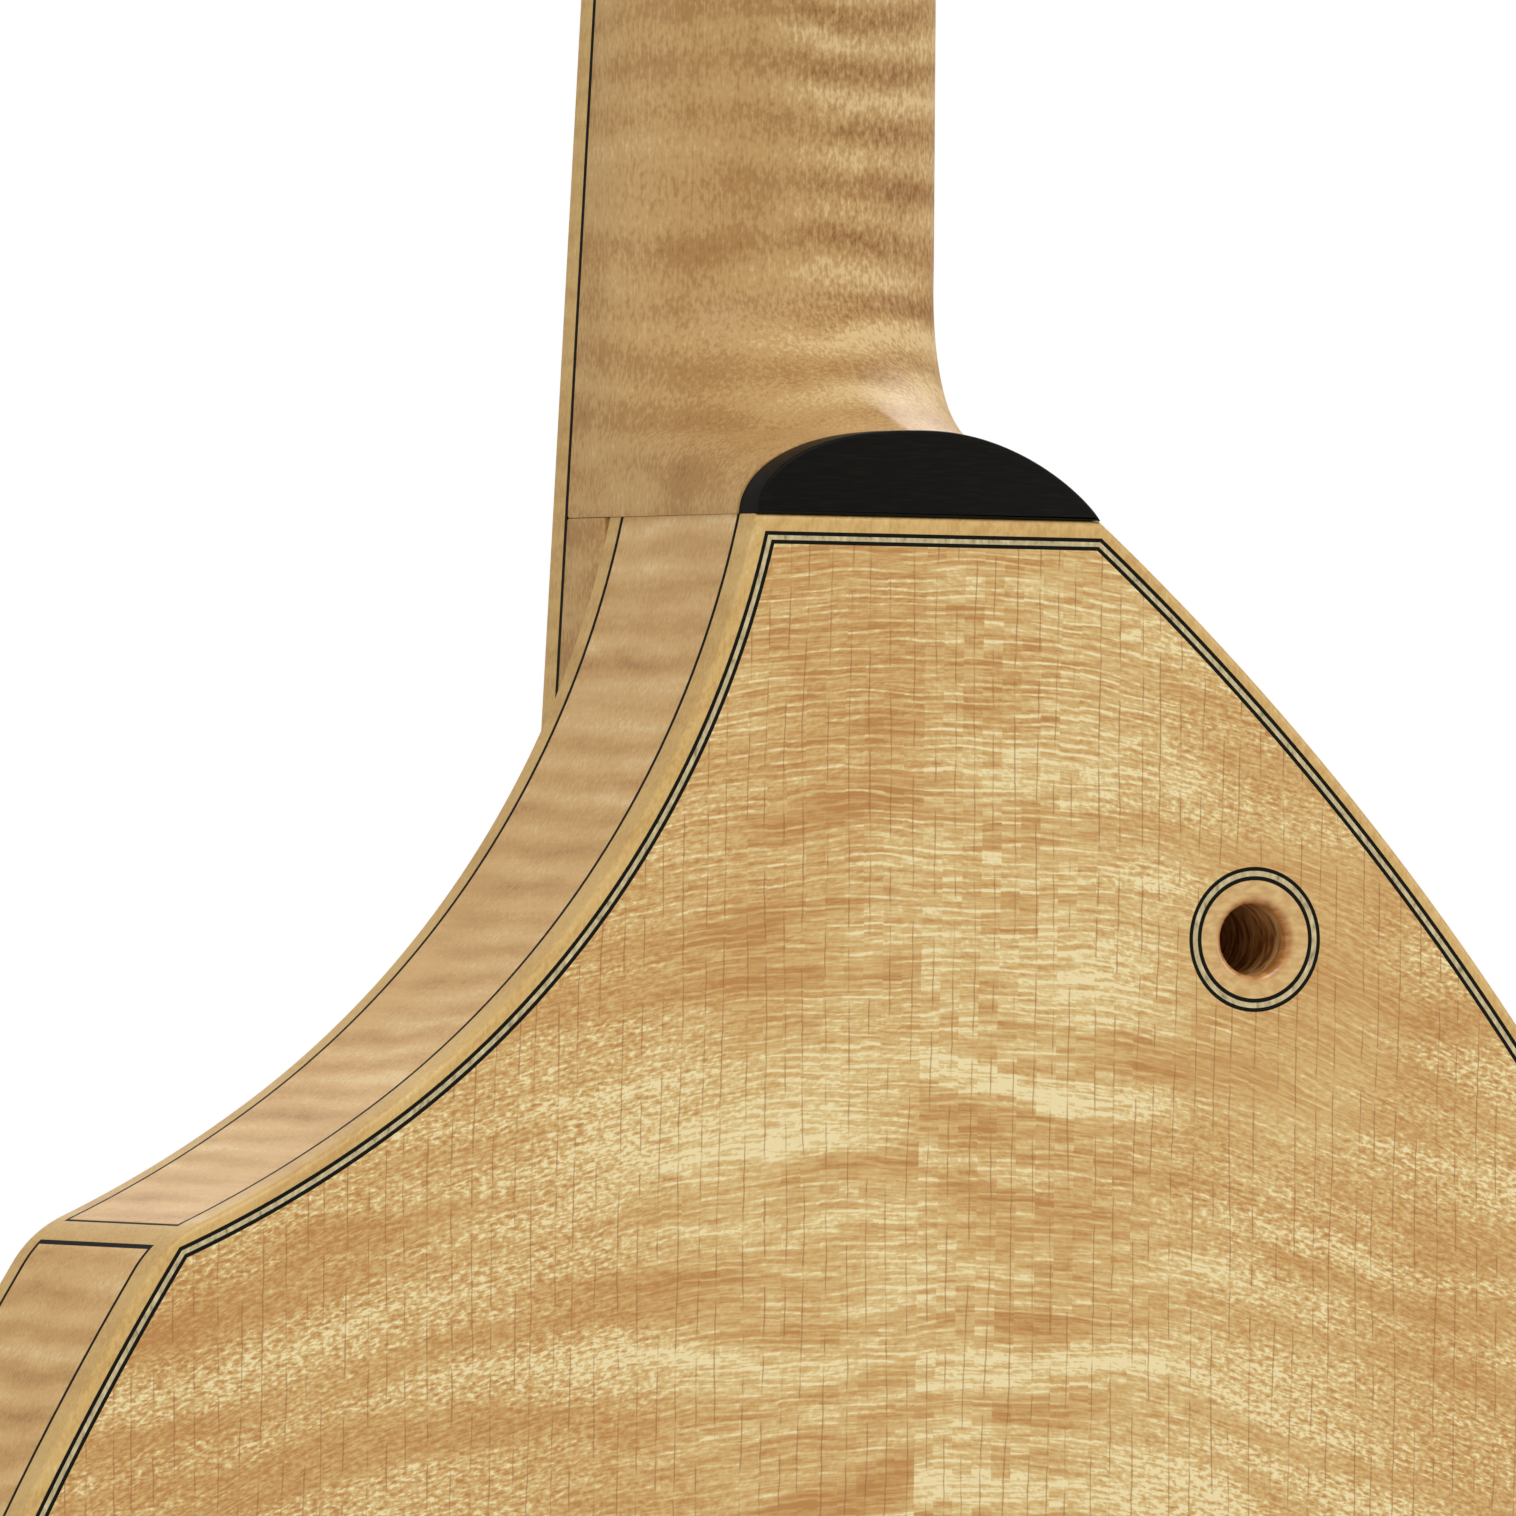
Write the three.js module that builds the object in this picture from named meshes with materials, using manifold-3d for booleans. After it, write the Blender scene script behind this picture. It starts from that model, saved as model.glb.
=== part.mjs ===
// A lute of the oud family with a flat two-piece back, a cutaway on the treble side, a raised
// fretless fingerboard on a tilted neck, a floating bridge, and a bent-back pegbox with eleven pegs.
//
// Millimetres. X runs to the treble side, Y to the back, Z up the neck. Everything is drawn with
// Z = 0 at the neck joint and Y = 0 on the back's outer face. The finished group is then moved, so
// that its origin is the point where a wall hanger holds the neck.

import * as THREE from "three";
import Module from "manifold-3d";
import { mergeVertices } from "three/addons/utils/BufferGeometryUtils.js";

const { Vector2, Vector3 } = THREE;
const DEG = Math.PI / 180;

// Body outline
const BODY_DEPTH = 56;
const BOUT = { centre: new Vector2(0, -287), radius: 188 };
const BASS_SHOULDER_RADIUS = 464.6;
const BASS_TOP_X = 29.7;
const TREBLE_SHOULDER_RADIUS = 474.9;
const TREBLE_TOP_X = 26.2;
const CUTAWAY_CENTRE = new Vector2(176.5, 31);
const CUTAWAY_TOP_X = 29;
const CUTAWAY_BEND_X = 90;
const CUTAWAY_END_RADIUS = 200;
const CUTAWAY_POINT_NEAR = new Vector2(125, -111);
const POINT_ROUNDING = 6;
const BASS_STEPS = 8;
const HALF_BOUT_STEPS = 15;
const TREBLE_STEPS = 4;
const CUTAWAY_STEPS = 8;
const CUTAWAY_END_STEPS = 3;

// Plates, ribs and edge bands
const BINDING_WIDTH = 1.95;
const PURFLING_END = 3.9;
const BACK_BAND = 6.84;
const FRONT_BAND = 5.5;
const BACK_THICKNESS = 2.8;
const BOARD_THICKNESS = 3;
const RIB_THICKNESS = 2.4;
const GLUE_GAP = 0.4;
const LINING_DEPTH = 9;
const LINING_WIDTH = 4.2;

// Arched soundboard
const ARCH_HEIGHT = 13;
const ARCH_CENTRE = new Vector2(0, -282);
const ARCH_PLATEAU = 0.5;
const BOARD_RINGS = [1, 0.89, 0.78, 0.66, 0.55];

// Rosettes: place, radius and number of petals
const ROSETTES = {
  rosette_main: { centre: new Vector2(0, -210), radius: 42, folds: 12 },
  rosette_treble: { centre: new Vector2(68, -285), radius: 16, folds: 6 },
  rosette_bass: { centre: new Vector2(-68, -285), radius: 16, folds: 6 },
};
const ROSETTE_THICKNESS = 2;
const ROSETTE_CLEARANCE = 0.3;

// Socket in the back
const SOCKET_CENTRE = new Vector2(-57.2, -64.5);
const SOCKET_RING_RADIUS = 11.3;
const SOCKET_FERRULE_RADIUS = 9.2;
const SOCKET_BORE_RADIUS = 5.6;
const SOCKET_BORE_DEPTH = 42;
const SOCKET_BLOCK_RADIUS = 15;

// Neck and fingerboard
const SCALE_LENGTH = 585;
const NECK_LENGTH = SCALE_LENGTH / 3;
const BRIDGE_Z = NECK_LENGTH - SCALE_LENGTH;
const NECK_HALF_WIDTH = 29.6;
const NECK_TAPER = 0.0274;
const NECK_TILT = 0.0372;
const BOARD_FRONT_Y = -76;
const FINGERBOARD_THICKNESS = 5.1;
const VENEER_THICKNESS = 0.6;
const NECK_FRONT_Y = BOARD_FRONT_Y + FINGERBOARD_THICKNESS + VENEER_THICKNESS;
const FINGERBOARD_END_Z = -112;
const FINGERBOARD_BINDING = 2;
const EXTENSION_END_Z = -100;
const NECK_DEPTH = 22.3;
const HEEL_CAP_HEIGHT = 13.4;
const HEEL_TOP_Z = 42;
const NUT_LENGTH = 5;
const NUT_PROUD = 1.2;

// Pegbox: it leaves the neck at the first angle and has curved up to the second at its end
const PEGBOX_START_ANGLE = 78 * DEG;
const PEGBOX_END_ANGLE = 62 * DEG;
const PEGBOX_LENGTH = 190;
const PEGBOX_END_HALF_WIDTH = 13;
const PEGBOX_START_DEPTH = 27;
const PEGBOX_END_DEPTH = 22;
const PEGBOX_FLOOR = 4.5;
const CHEEK_THICKNESS = 5.2;
const PIECE_GAP = 0.3;

// Pegs
const PEG_COUNT = 11;
const PEG_FIRST = 30;
const PEG_PITCH = 14.5;
const PEG_UP = -10;
const PEG_RADIUS = 3.6;
const PEG_HOLE_RADIUS = 4.2;
const PEG_HOLE_SIDES = 12;
const PEG_TURN = 37 * DEG;

// Strings: one single bass and five pairs
const COURSES = 6;
const NUT_SPREAD = 35;
const BRIDGE_SPREAD = 62;
const NUT_PAIR_GAP = 2.2;
const BRIDGE_PAIR_GAP = 3.6;
const STRING_RADII = [0.55, 0.5, 0.44, 0.4, 0.36, 0.33];
const BRIDGE_TOP_Y = -94;
const STRING_LIFT = 0.3;
const BRIDGE_HALF_THICKNESS = 4.5;
const BRIDGE_TOP_SHARE = 0.33;

// Tail
const TAILPIECE_TOP_Z = -428;
const TAILPIECE_END_Z = -464;
const TAILPIECE_TOP_Y = -80;
const TAILPIECE_END_Y = -66;
const TAILPIECE_THICKNESS = 5;
const BUTTON_Y = -28;
const BUTTON_LENGTH = 14;

const HANG_Z = NECK_LENGTH - 20;
const BODY_END_Z = BOUT.centre.y - BOUT.radius;
const FRONT_Y = -BODY_DEPTH;

const finish = (color, roughness, metalness = 0) =>
  new THREE.MeshStandardMaterial({ color, roughness, metalness });
const FINISHES = {
  back_maple: finish(0xd9b57f, 0.35),
  rib_maple: finish(0xd8b88c, 0.35),
  edge_maple: finish(0xdfc294, 0.35),
  neck_maple: finish(0xd6b083, 0.4),
  spruce: finish(0xe3c58e, 0.45),
  inner_spruce: finish(0xd9c39a, 0.8),
  purfling: finish(0x2b2a26, 0.5),
  ebony: finish(0x1c1a19, 0.4),
  bone: finish(0xe9e1cb, 0.4),
  rosewood: finish(0x4a2a1c, 0.4),
  gut: finish(0x3a2a1c, 0.5),
  nylon: finish(0xe6ddc4, 0.3),
  wound_string: finish(0xb9b2a4, 0.35, 0.8),
};

const wasm = await Module();
wasm.setup();

// One closed mesh with shared vertices and outward faces.
function closed(geometry) {
  const bare = geometry.index ? geometry.clone() : geometry;
  bare.deleteAttribute("uv");
  bare.deleteAttribute("normal");
  const merged = mergeVertices(bare, 1e-4);
  const at = (i) => new Vector3().fromBufferAttribute(merged.attributes.position, i);
  const index = merged.index.array;
  let volume = 0;
  for (let i = 0; i < index.length; i += 3) {
    volume += at(index[i]).dot(at(index[i + 1]).cross(at(index[i + 2])));
  }
  if (volume < 0) {
    index.reverse();
  }
  return merged;
}

function asSolid(geometry) {
  const vertProperties = new Float32Array(geometry.attributes.position.array);
  const triVerts = new Uint32Array(geometry.index.array);
  return new wasm.Manifold(new wasm.Mesh({ numProp: 3, vertProperties, triVerts }));
}

function subtract(geometry, cutters) {
  let solid = asSolid(geometry);
  for (const cutter of cutters) {
    solid = solid.subtract(asSolid(cutter));
  }
  const mesh = solid.getMesh();
  const cut = new THREE.BufferGeometry();
  cut.setAttribute("position", new THREE.BufferAttribute(mesh.vertProperties, 3));
  cut.setIndex(new THREE.BufferAttribute(mesh.triVerts, 1));
  return cut;
}

// A closed skin over rings of equal point count, with a fan over each end.
function loft(rings) {
  const count = rings[0].length;
  const index = [];
  for (let ring = 0; ring + 1 < rings.length; ring++) {
    for (let i = 0; i < count; i++) {
      const a = ring * count + i;
      const b = ring * count + ((i + 1) % count);
      index.push(a, b, a + count, b, b + count, a + count);
    }
  }
  const last = (rings.length - 1) * count;
  for (let i = 1; i + 1 < count; i++) {
    index.push(0, i + 1, i, last, last + i, last + i + 1);
  }
  const geometry = new THREE.BufferGeometry();
  geometry.setFromPoints(rings.flat());
  geometry.setIndex(index);
  return closed(geometry);
}

// A tube of one radius through a list of points, mitred at each of them.
function tube(points, radius, sides) {
  let across = new Vector3(1, 0, 0);
  const rings = points.map((point, i) => {
    const before = points[Math.max(i - 1, 0)];
    const after = points[Math.min(i + 1, points.length - 1)];
    const into = point.clone().sub(before).normalize();
    const tangent = after.clone().sub(point).normalize().add(into).normalize();
    across = across.clone().addScaledVector(tangent, -across.dot(tangent)).normalize();
    const other = tangent.clone().cross(across);
    return circlePoints(new Vector2(0, 0), radius, sides).map((p) =>
      point.clone().addScaledVector(across, p.x).addScaledVector(other, p.y)
    );
  });
  return loft(rings);
}

// A flat slab: points are (X, Z), and it runs from one Y to another, lower one.
function slab(points, fromY, toY, holes = []) {
  const shape = new THREE.Shape(points);
  shape.holes = holes.map((hole) => new THREE.Path(hole));
  const geometry = new THREE.ExtrudeGeometry(shape, { depth: fromY - toY, bevelEnabled: false });
  geometry.rotateX(Math.PI / 2);
  geometry.translate(0, fromY, 0);
  return closed(geometry);
}

// The same slab leaning with the neck's plane.
function neckSlab(points, fromY, toY) {
  const geometry = slab(points, fromY, toY);
  geometry.applyMatrix4(new THREE.Matrix4().makeShear(0, 0, 0, 0, 0, NECK_TILT));
  return geometry;
}

function circlePoints(centre, radius, count, start = 0) {
  return Array.from({ length: count }, (_, i) => {
    const angle = start + (i * 2 * Math.PI) / count;
    return new Vector2(centre.x + radius * Math.cos(angle), centre.y + radius * Math.sin(angle));
  });
}

function circlesMeet(a, b, near) {
  const gap = a.centre.distanceTo(b.centre);
  const along = (a.radius ** 2 - b.radius ** 2 + gap ** 2) / (2 * gap);
  const across = Math.sqrt(a.radius ** 2 - along ** 2);
  const direction = b.centre.clone().sub(a.centre).divideScalar(gap);
  const foot = a.centre.clone().addScaledVector(direction, along);
  const side = new Vector2(-direction.y, direction.x).multiplyScalar(across);
  const one = foot.clone().add(side);
  const two = foot.clone().sub(side);
  return one.distanceTo(near) < two.distanceTo(near) ? one : two;
}

// A shoulder circle passes through the top corner and runs smoothly into the bout.
function shoulder(topX, radius) {
  const top = { centre: new Vector2(topX, 0), radius };
  const inner = { centre: BOUT.centre, radius: radius - BOUT.radius };
  return { centre: circlesMeet(top, inner, new Vector2(-topX * 10, -360)), radius };
}

const BASS = shoulder(-BASS_TOP_X, BASS_SHOULDER_RADIUS);
const TREBLE = shoulder(TREBLE_TOP_X, TREBLE_SHOULDER_RADIUS);
const CUTAWAY = {
  centre: CUTAWAY_CENTRE,
  radius: CUTAWAY_CENTRE.distanceTo(new Vector2(CUTAWAY_TOP_X, 0)),
};

// Past this bend the cutaway runs on to its point with a larger radius.
const BEND_DROP = Math.sqrt(CUTAWAY.radius ** 2 - (CUTAWAY_BEND_X - CUTAWAY_CENTRE.x) ** 2);
const BEND = new Vector2(CUTAWAY_BEND_X, CUTAWAY_CENTRE.y - BEND_DROP);
const CUTAWAY_END = {
  centre: BEND.clone().lerp(CUTAWAY_CENTRE, CUTAWAY_END_RADIUS / CUTAWAY.radius),
  radius: CUTAWAY_END_RADIUS,
};

const inset = (circle, by) => ({ centre: circle.centre, radius: circle.radius - by });
const angleOn = (circle, point) => point.clone().sub(circle.centre).angle();
const BASS_TANGENT = angleOn(BASS, BOUT.centre);
const TREBLE_TANGENT = angleOn(TREBLE, BOUT.centre);
const BEND_ANGLE = angleOn(CUTAWAY, BEND);
const TAIL_ANGLE = 1.5 * Math.PI;

function arc(circle, from, to, steps) {
  return Array.from({ length: steps + 1 }, (_, i) => {
    const angle = from + ((to - from) * i) / steps;
    const reach = new Vector2(Math.cos(angle), Math.sin(angle)).multiplyScalar(circle.radius);
    return circle.centre.clone().add(reach);
  });
}

function atHeight(circle, z, side) {
  const reach = Math.sqrt(circle.radius ** 2 - (z - circle.centre.y) ** 2);
  return new Vector2(circle.centre.x + side * reach, z);
}

function joined(...lists) {
  const points = lists.flat();
  return points.filter((p, i) => i === 0 || p.distanceTo(points[i - 1]) > 1e-6);
}

// Stretches of the outline moved inwards, each from its top end or along the way round.
function bassSide(by, topZ) {
  const circle = inset(BASS, by);
  const start = angleOn(circle, atHeight(circle, topZ, -1));
  return joined(
    arc(circle, start, BASS_TANGENT, BASS_STEPS),
    arc(inset(BOUT, by), BASS_TANGENT, TAIL_ANGLE, HALF_BOUT_STEPS)
  );
}

function trebleSide(by, endAngle) {
  return joined(
    arc(inset(BOUT, by), TAIL_ANGLE, TREBLE_TANGENT + 2 * Math.PI, HALF_BOUT_STEPS),
    arc(inset(TREBLE, by), TREBLE_TANGENT, endAngle, TREBLE_STEPS)
  );
}

function cutawaySide(by, startAngle, topZ) {
  const circle = inset(CUTAWAY, -by);
  return joined(
    arc(inset(CUTAWAY_END, -by), startAngle, BEND_ANGLE, CUTAWAY_END_STEPS),
    arc(circle, BEND_ANGLE, angleOn(circle, atHeight(circle, topZ, -1)), CUTAWAY_STEPS)
  );
}

const pointCorner = (by) =>
  circlesMeet(inset(CUTAWAY_END, -by), inset(TREBLE, by), CUTAWAY_POINT_NEAR);

// The cutaway's outer point is rounded between these two places.
const CORNER = pointCorner(0);
const CORNER_CIRCLE = { centre: CORNER, radius: POINT_ROUNDING };
const POINT_BELOW = circlesMeet(TREBLE, CORNER_CIRCLE, new Vector2(130, -118));
const POINT_ABOVE = circlesMeet(CUTAWAY_END, CORNER_CIRCLE, new Vector2(118, -106));
const POINT_BELOW_ANGLE = angleOn(TREBLE, POINT_BELOW);
const POINT_ABOVE_ANGLE = angleOn(CUTAWAY_END, POINT_ABOVE);
const POINT_CURVE = new THREE.QuadraticBezierCurve(POINT_BELOW, CORNER, POINT_ABOVE).getPoints(12);
// A short strip of its own is set into part of that curve.
const STRIP_FROM = 5;
const STRIP_TO = 10;
const STRIP_BELOW_ANGLE = angleOn(TREBLE, POINT_CURVE[STRIP_FROM]);
const STRIP_ABOVE_ANGLE = angleOn(CUTAWAY_END, POINT_CURVE[STRIP_TO]);

function bassHalf(by) {
  return [new Vector2(0, -by), ...bassSide(by, -by)];
}

function trebleHalf(by) {
  const corner = pointCorner(by);
  const below = by ? angleOn(TREBLE, corner) : POINT_BELOW_ANGLE;
  const above = by ? angleOn(CUTAWAY_END, corner) : POINT_ABOVE_ANGLE;
  return joined(
    trebleSide(by, below),
    by ? [corner] : POINT_CURVE,
    cutawaySide(by, above, -by),
    [new Vector2(0, -by)]
  );
}

const outline = (by) => [...bassHalf(by).slice(1), ...trebleHalf(by).slice(1, -1)];

const edgeRing = (from, to, fromY, toY) => slab(outline(from), fromY, toY, [outline(to)]);

const BOARD_EDGE = outline(PURFLING_END);

// How far out from the arch's centre a point lies, as a share of the way to the board's edge.
function shareToEdge(point) {
  const ray = point.clone().sub(ARCH_CENTRE);
  let share = 0;
  BOARD_EDGE.forEach((a, i) => {
    const start = a.clone().sub(ARCH_CENTRE);
    const along = BOARD_EDGE[(i + 1) % BOARD_EDGE.length].clone().sub(a);
    const turn = ray.cross(along);
    const where = start.cross(ray) / turn;
    const reach = start.cross(along) / turn;
    if (reach > 0 && where >= 0 && where <= 1) {
      share = Math.max(share, 1 / reach);
    }
  });
  return share;
}

function arch(share) {
  const fall = THREE.MathUtils.smoothstep(share, ARCH_PLATEAU, 1);
  return ARCH_HEIGHT * (1 - fall);
}

const boardFront = (x, z) => FRONT_Y - arch(shareToEdge(new Vector2(x, z)));

function soundboard() {
  const ring = (share, y) =>
    BOARD_EDGE.map((edge) => {
      const p = ARCH_CENTRE.clone().lerp(edge, share);
      return new Vector3(p.x, y - arch(share), p.y);
    });
  const back = BOARD_RINGS.map((share) => ring(share, FRONT_Y + BOARD_THICKNESS)).reverse();
  const front = BOARD_RINGS.map((share) => ring(share, FRONT_Y));
  const holes = Object.values(ROSETTES).map(({ centre, radius }) =>
    slab(circlePoints(centre, radius + ROSETTE_CLEARANCE, 36), 0, 2 * FRONT_Y)
  );
  return subtract(loft([...back, ...front]), holes);
}

// A four-sided opening on a radius of the rosette.
function kite(centre, angle, inner, middle, outer, halfAngle) {
  const corner = (radius, turn) =>
    new Vector2(
      centre.x + radius * Math.cos(angle + turn),
      centre.y + radius * Math.sin(angle + turn)
    );
  return [
    corner(inner, 0),
    corner(middle, halfAngle),
    corner(outer, 0),
    corner(middle, -halfAngle),
  ];
}

function rosette({ centre, radius, folds }) {
  const step = (2 * Math.PI) / folds;
  const openings = [];
  for (let i = 0; i < folds; i++) {
    const angle = i * step;
    const between = angle + step / 2;
    openings.push(kite(centre, angle, 0.58 * radius, 0.74 * radius, 0.87 * radius, 0.32 * step));
    openings.push(kite(centre, between, 0.37 * radius, 0.52 * radius, 0.66 * radius, 0.32 * step));
    openings.push(kite(centre, angle, 0.16 * radius, 0.27 * radius, 0.4 * radius, 0.3 * step));
  }
  const frontY = FRONT_Y - ARCH_HEIGHT + 0.5;
  const rim = circlePoints(centre, radius, 36);
  return slab(rim, frontY + ROSETTE_THICKNESS, frontY, openings);
}

const RIB_FROM_Y = -BACK_BAND;
const RIB_TO_Y = FRONT_Y + FRONT_BAND;

function ribs() {
  const strip = (outer, inner) => slab([...outer, ...inner.reverse()], RIB_FROM_Y, RIB_TO_Y);
  const t = RIB_THICKNESS;
  return {
    rib_bass: strip(bassSide(0, 0), bassSide(t, 0)),
    rib_treble_lower: strip(
      [...trebleSide(0, POINT_BELOW_ANGLE), ...POINT_CURVE.slice(1, STRIP_FROM + 1)],
      trebleSide(t, STRIP_BELOW_ANGLE)
    ),
    rib_treble_upper: strip(
      [...POINT_CURVE.slice(STRIP_TO, -1), ...cutawaySide(0, POINT_ABOVE_ANGLE, 0)],
      cutawaySide(t, STRIP_ABOVE_ANGLE, 0)
    ),
    cutaway_point_strip: strip(POINT_CURVE.slice(STRIP_FROM, STRIP_TO + 1), [
      arc(inset(TREBLE, t), STRIP_BELOW_ANGLE, STRIP_BELOW_ANGLE, 1)[0],
      pointCorner(t),
      arc(inset(CUTAWAY_END, -t), STRIP_ABOVE_ANGLE, STRIP_ABOVE_ANGLE, 1)[0],
    ]),
  };
}

const LINING_FROM = RIB_THICKNESS + GLUE_GAP;
const LINING_TOP_Z = -50;
const LINING_END_ANGLE = POINT_BELOW_ANGLE - 4 * DEG;

function lining(fromY) {
  const line = (by) =>
    joined(bassSide(by, LINING_TOP_Z), trebleSide(by, LINING_END_ANGLE));
  const outer = line(LINING_FROM);
  const inner = line(LINING_FROM + LINING_WIDTH).reverse();
  return slab([...outer, ...inner], fromY, fromY - LINING_DEPTH);
}

const INSIDE_BACK_Y = -BACK_THICKNESS - PIECE_GAP;
const INSIDE_FRONT_Y = FRONT_Y + BOARD_THICKNESS + PIECE_GAP;
const BACK_LINING_Y = INSIDE_BACK_Y;
const FRONT_LINING_Y = INSIDE_FRONT_Y + LINING_DEPTH;

function neckBlock() {
  const bass = inset(BASS, LINING_FROM);
  const treble = inset(CUTAWAY, -LINING_FROM);
  const heights = [0, -14, -28, -42];
  const points = [
    ...heights.map((z) => atHeight(bass, z, -1)),
    ...heights.map((z) => atHeight(treble, z, -1)).reverse(),
  ];
  return slab(points, -BACK_BAND - PIECE_GAP, RIB_TO_Y + PIECE_GAP);
}

function tailBlock() {
  const half = 9 * DEG;
  const outer = arc(inset(BOUT, LINING_FROM), TAIL_ANGLE - half, TAIL_ANGLE + half, 6);
  const flatZ = BODY_END_Z + 30;
  const points = [...outer, new Vector2(outer[6].x, flatZ), new Vector2(outer[0].x, flatZ)];
  return slab(points, BACK_LINING_Y - LINING_DEPTH - PIECE_GAP, FRONT_LINING_Y + PIECE_GAP);
}

function cutawayBlock() {
  const corner = pointCorner(LINING_FROM + PIECE_GAP);
  const below = inset(TREBLE, LINING_FROM + PIECE_GAP);
  const above = inset(CUTAWAY_END, -LINING_FROM - PIECE_GAP);
  const points = [
    atHeight(below, corner.y - 14, 1),
    corner,
    atHeight(above, corner.y + 9, -1),
    new Vector2(corner.x - 26, corner.y - 12),
  ];
  return slab(points, INSIDE_BACK_Y, INSIDE_FRONT_Y);
}

function backBrace() {
  const [z, halfWidth, depth, halfLength] = [-255, 4, 11, 168];
  const points = [
    new Vector2(-halfLength, z - halfWidth),
    new Vector2(halfLength, z - halfWidth),
    new Vector2(halfLength, z + halfWidth),
    new Vector2(-halfLength, z + halfWidth),
  ];
  return slab(points, INSIDE_BACK_Y, INSIDE_BACK_Y - depth);
}

// A bar across the soundboard that follows the underside of its arch.
function boardBrace(z, halfLength) {
  const [halfWidth, depth, steps] = [3.5, 10, 10];
  const rings = Array.from({ length: steps + 1 }, (_, i) => {
    const x = halfLength * ((2 * i) / steps - 1);
    const near = Math.max(boardFront(x, z - halfWidth), boardFront(x, z + halfWidth));
    const y = near + BOARD_THICKNESS + GLUE_GAP;
    return [
      new Vector3(x, y, z - halfWidth),
      new Vector3(x, y, z + halfWidth),
      new Vector3(x, y + depth, z + halfWidth),
      new Vector3(x, y + depth, z - halfWidth),
    ];
  });
  return loft(rings);
}

function socketParts() {
  const ring = circlePoints(SOCKET_CENTRE, SOCKET_RING_RADIUS, 24);
  const ferrule = circlePoints(SOCKET_CENTRE, SOCKET_FERRULE_RADIUS, 24);
  const bore = circlePoints(SOCKET_CENTRE, SOCKET_BORE_RADIUS, 24);
  const top = -PIECE_GAP;
  const bottom = INSIDE_FRONT_Y + BACK_THICKNESS + 4;
  const block = new THREE.LatheGeometry(
    [
      new Vector2(0, bottom),
      new Vector2(SOCKET_BLOCK_RADIUS, bottom),
      new Vector2(SOCKET_BLOCK_RADIUS, top),
      new Vector2(SOCKET_BORE_RADIUS, top),
      new Vector2(SOCKET_BORE_RADIUS, BACK_THICKNESS - SOCKET_BORE_DEPTH),
      new Vector2(0, BACK_THICKNESS - SOCKET_BORE_DEPTH),
    ],
    24
  );
  block.translate(SOCKET_CENTRE.x, -BACK_THICKNESS, SOCKET_CENTRE.y);
  return {
    socket_purfling: slab(ring, 0, -BACK_THICKNESS, [ferrule]),
    socket_ferrule: slab(ferrule, 0, -BACK_THICKNESS, [bore]),
    socket_block: closed(block),
  };
}

const halfWidthAt = (z) => NECK_HALF_WIDTH - NECK_TAPER * z;
const neckPlane = (y, z) => y + NECK_TILT * z;

// The heel cap's height at a share of its half width, fuller on the cutaway side.
const CAP_EDGE = {
  treble: { power: 2.4, root: 0.5 },
  bass: { power: 2, root: 0.85 },
};
const capHeight = ({ power, root }, share) => HEEL_CAP_HEIGHT * (1 - share ** power) ** root;
const capShare = ({ power, root }, z) =>
  (1 - Math.min(z / HEEL_CAP_HEIGHT, 1) ** (1 / root)) ** (1 / power);

function heelCap() {
  const steps = 9;
  const points = [];
  for (let i = 0; i <= steps; i++) {
    const share = Math.cos((i / steps) * (Math.PI / 2));
    points.push(new Vector2(BASS_TOP_X * -share, capHeight(CAP_EDGE.bass, share)));
  }
  for (let i = steps - 1; i >= 0; i--) {
    const share = Math.cos((i / steps) * (Math.PI / 2));
    points.push(new Vector2(CUTAWAY_TOP_X * share, capHeight(CAP_EDGE.treble, share)));
  }
  return slab(points, 0, -BACK_BAND);
}

// The back ridge of heel and neck: it stays under the cap, then sweeps in to the neck's depth.
function ridgeAt(z) {
  const neckBack = neckPlane(NECK_FRONT_Y + NECK_DEPTH, z);
  const sweep = THREE.MathUtils.clamp((z - HEEL_CAP_HEIGHT) / (HEEL_TOP_Z - HEEL_CAP_HEIGHT), 0, 1);
  return THREE.MathUtils.lerp(neckBack, -BACK_BAND, (1 - sweep) ** 2.6);
}

function neckSection(z) {
  const front = neckPlane(NECK_FRONT_Y, z);
  const ridge = ridgeAt(z);
  const rounding = THREE.MathUtils.smoothstep(z, HEEL_CAP_HEIGHT, HEEL_TOP_Z);
  const bulge = THREE.MathUtils.lerp(2.5, 3, rounding);
  const fullness = THREE.MathUtils.lerp(1, 3, rounding);
  const steps = 10;
  const flank = (side, edge) =>
    Array.from({ length: steps + 1 }, (_, i) => {
      const share = Math.sin(((i / steps) * Math.PI) / 2);
      const flat = Math.max(1.2, edge.halfWidth * capShare(edge, z));
      const swell = (1 - share ** bulge) ** (1 / fullness);
      const x = side * (flat + (halfWidthAt(z) - flat) * swell);
      return new Vector3(x, THREE.MathUtils.lerp(front, ridge, share), z);
    });
  return [
    ...flank(1, { ...CAP_EDGE.treble, halfWidth: CUTAWAY_TOP_X }),
    ...flank(-1, { ...CAP_EDGE.bass, halfWidth: BASS_TOP_X }).reverse(),
  ];
}

const NUT_TOP_Z = NECK_LENGTH + NUT_LENGTH;
const PEGBOX_CORNER = new Vector2(neckPlane(NECK_FRONT_Y, NUT_TOP_Z), NUT_TOP_Z);

// Everything on one side of the mitre between neck and pegbox, to be cut away.
function beyondMitre(side) {
  const box = new THREE.BoxGeometry(600, 600, 600);
  box.translate(0, 0, side * (300 + PIECE_GAP / -2));
  box.rotateX(-PEGBOX_START_ANGLE / 2);
  box.translate(0, PEGBOX_CORNER.x, PEGBOX_CORNER.y);
  return closed(box);
}

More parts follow.
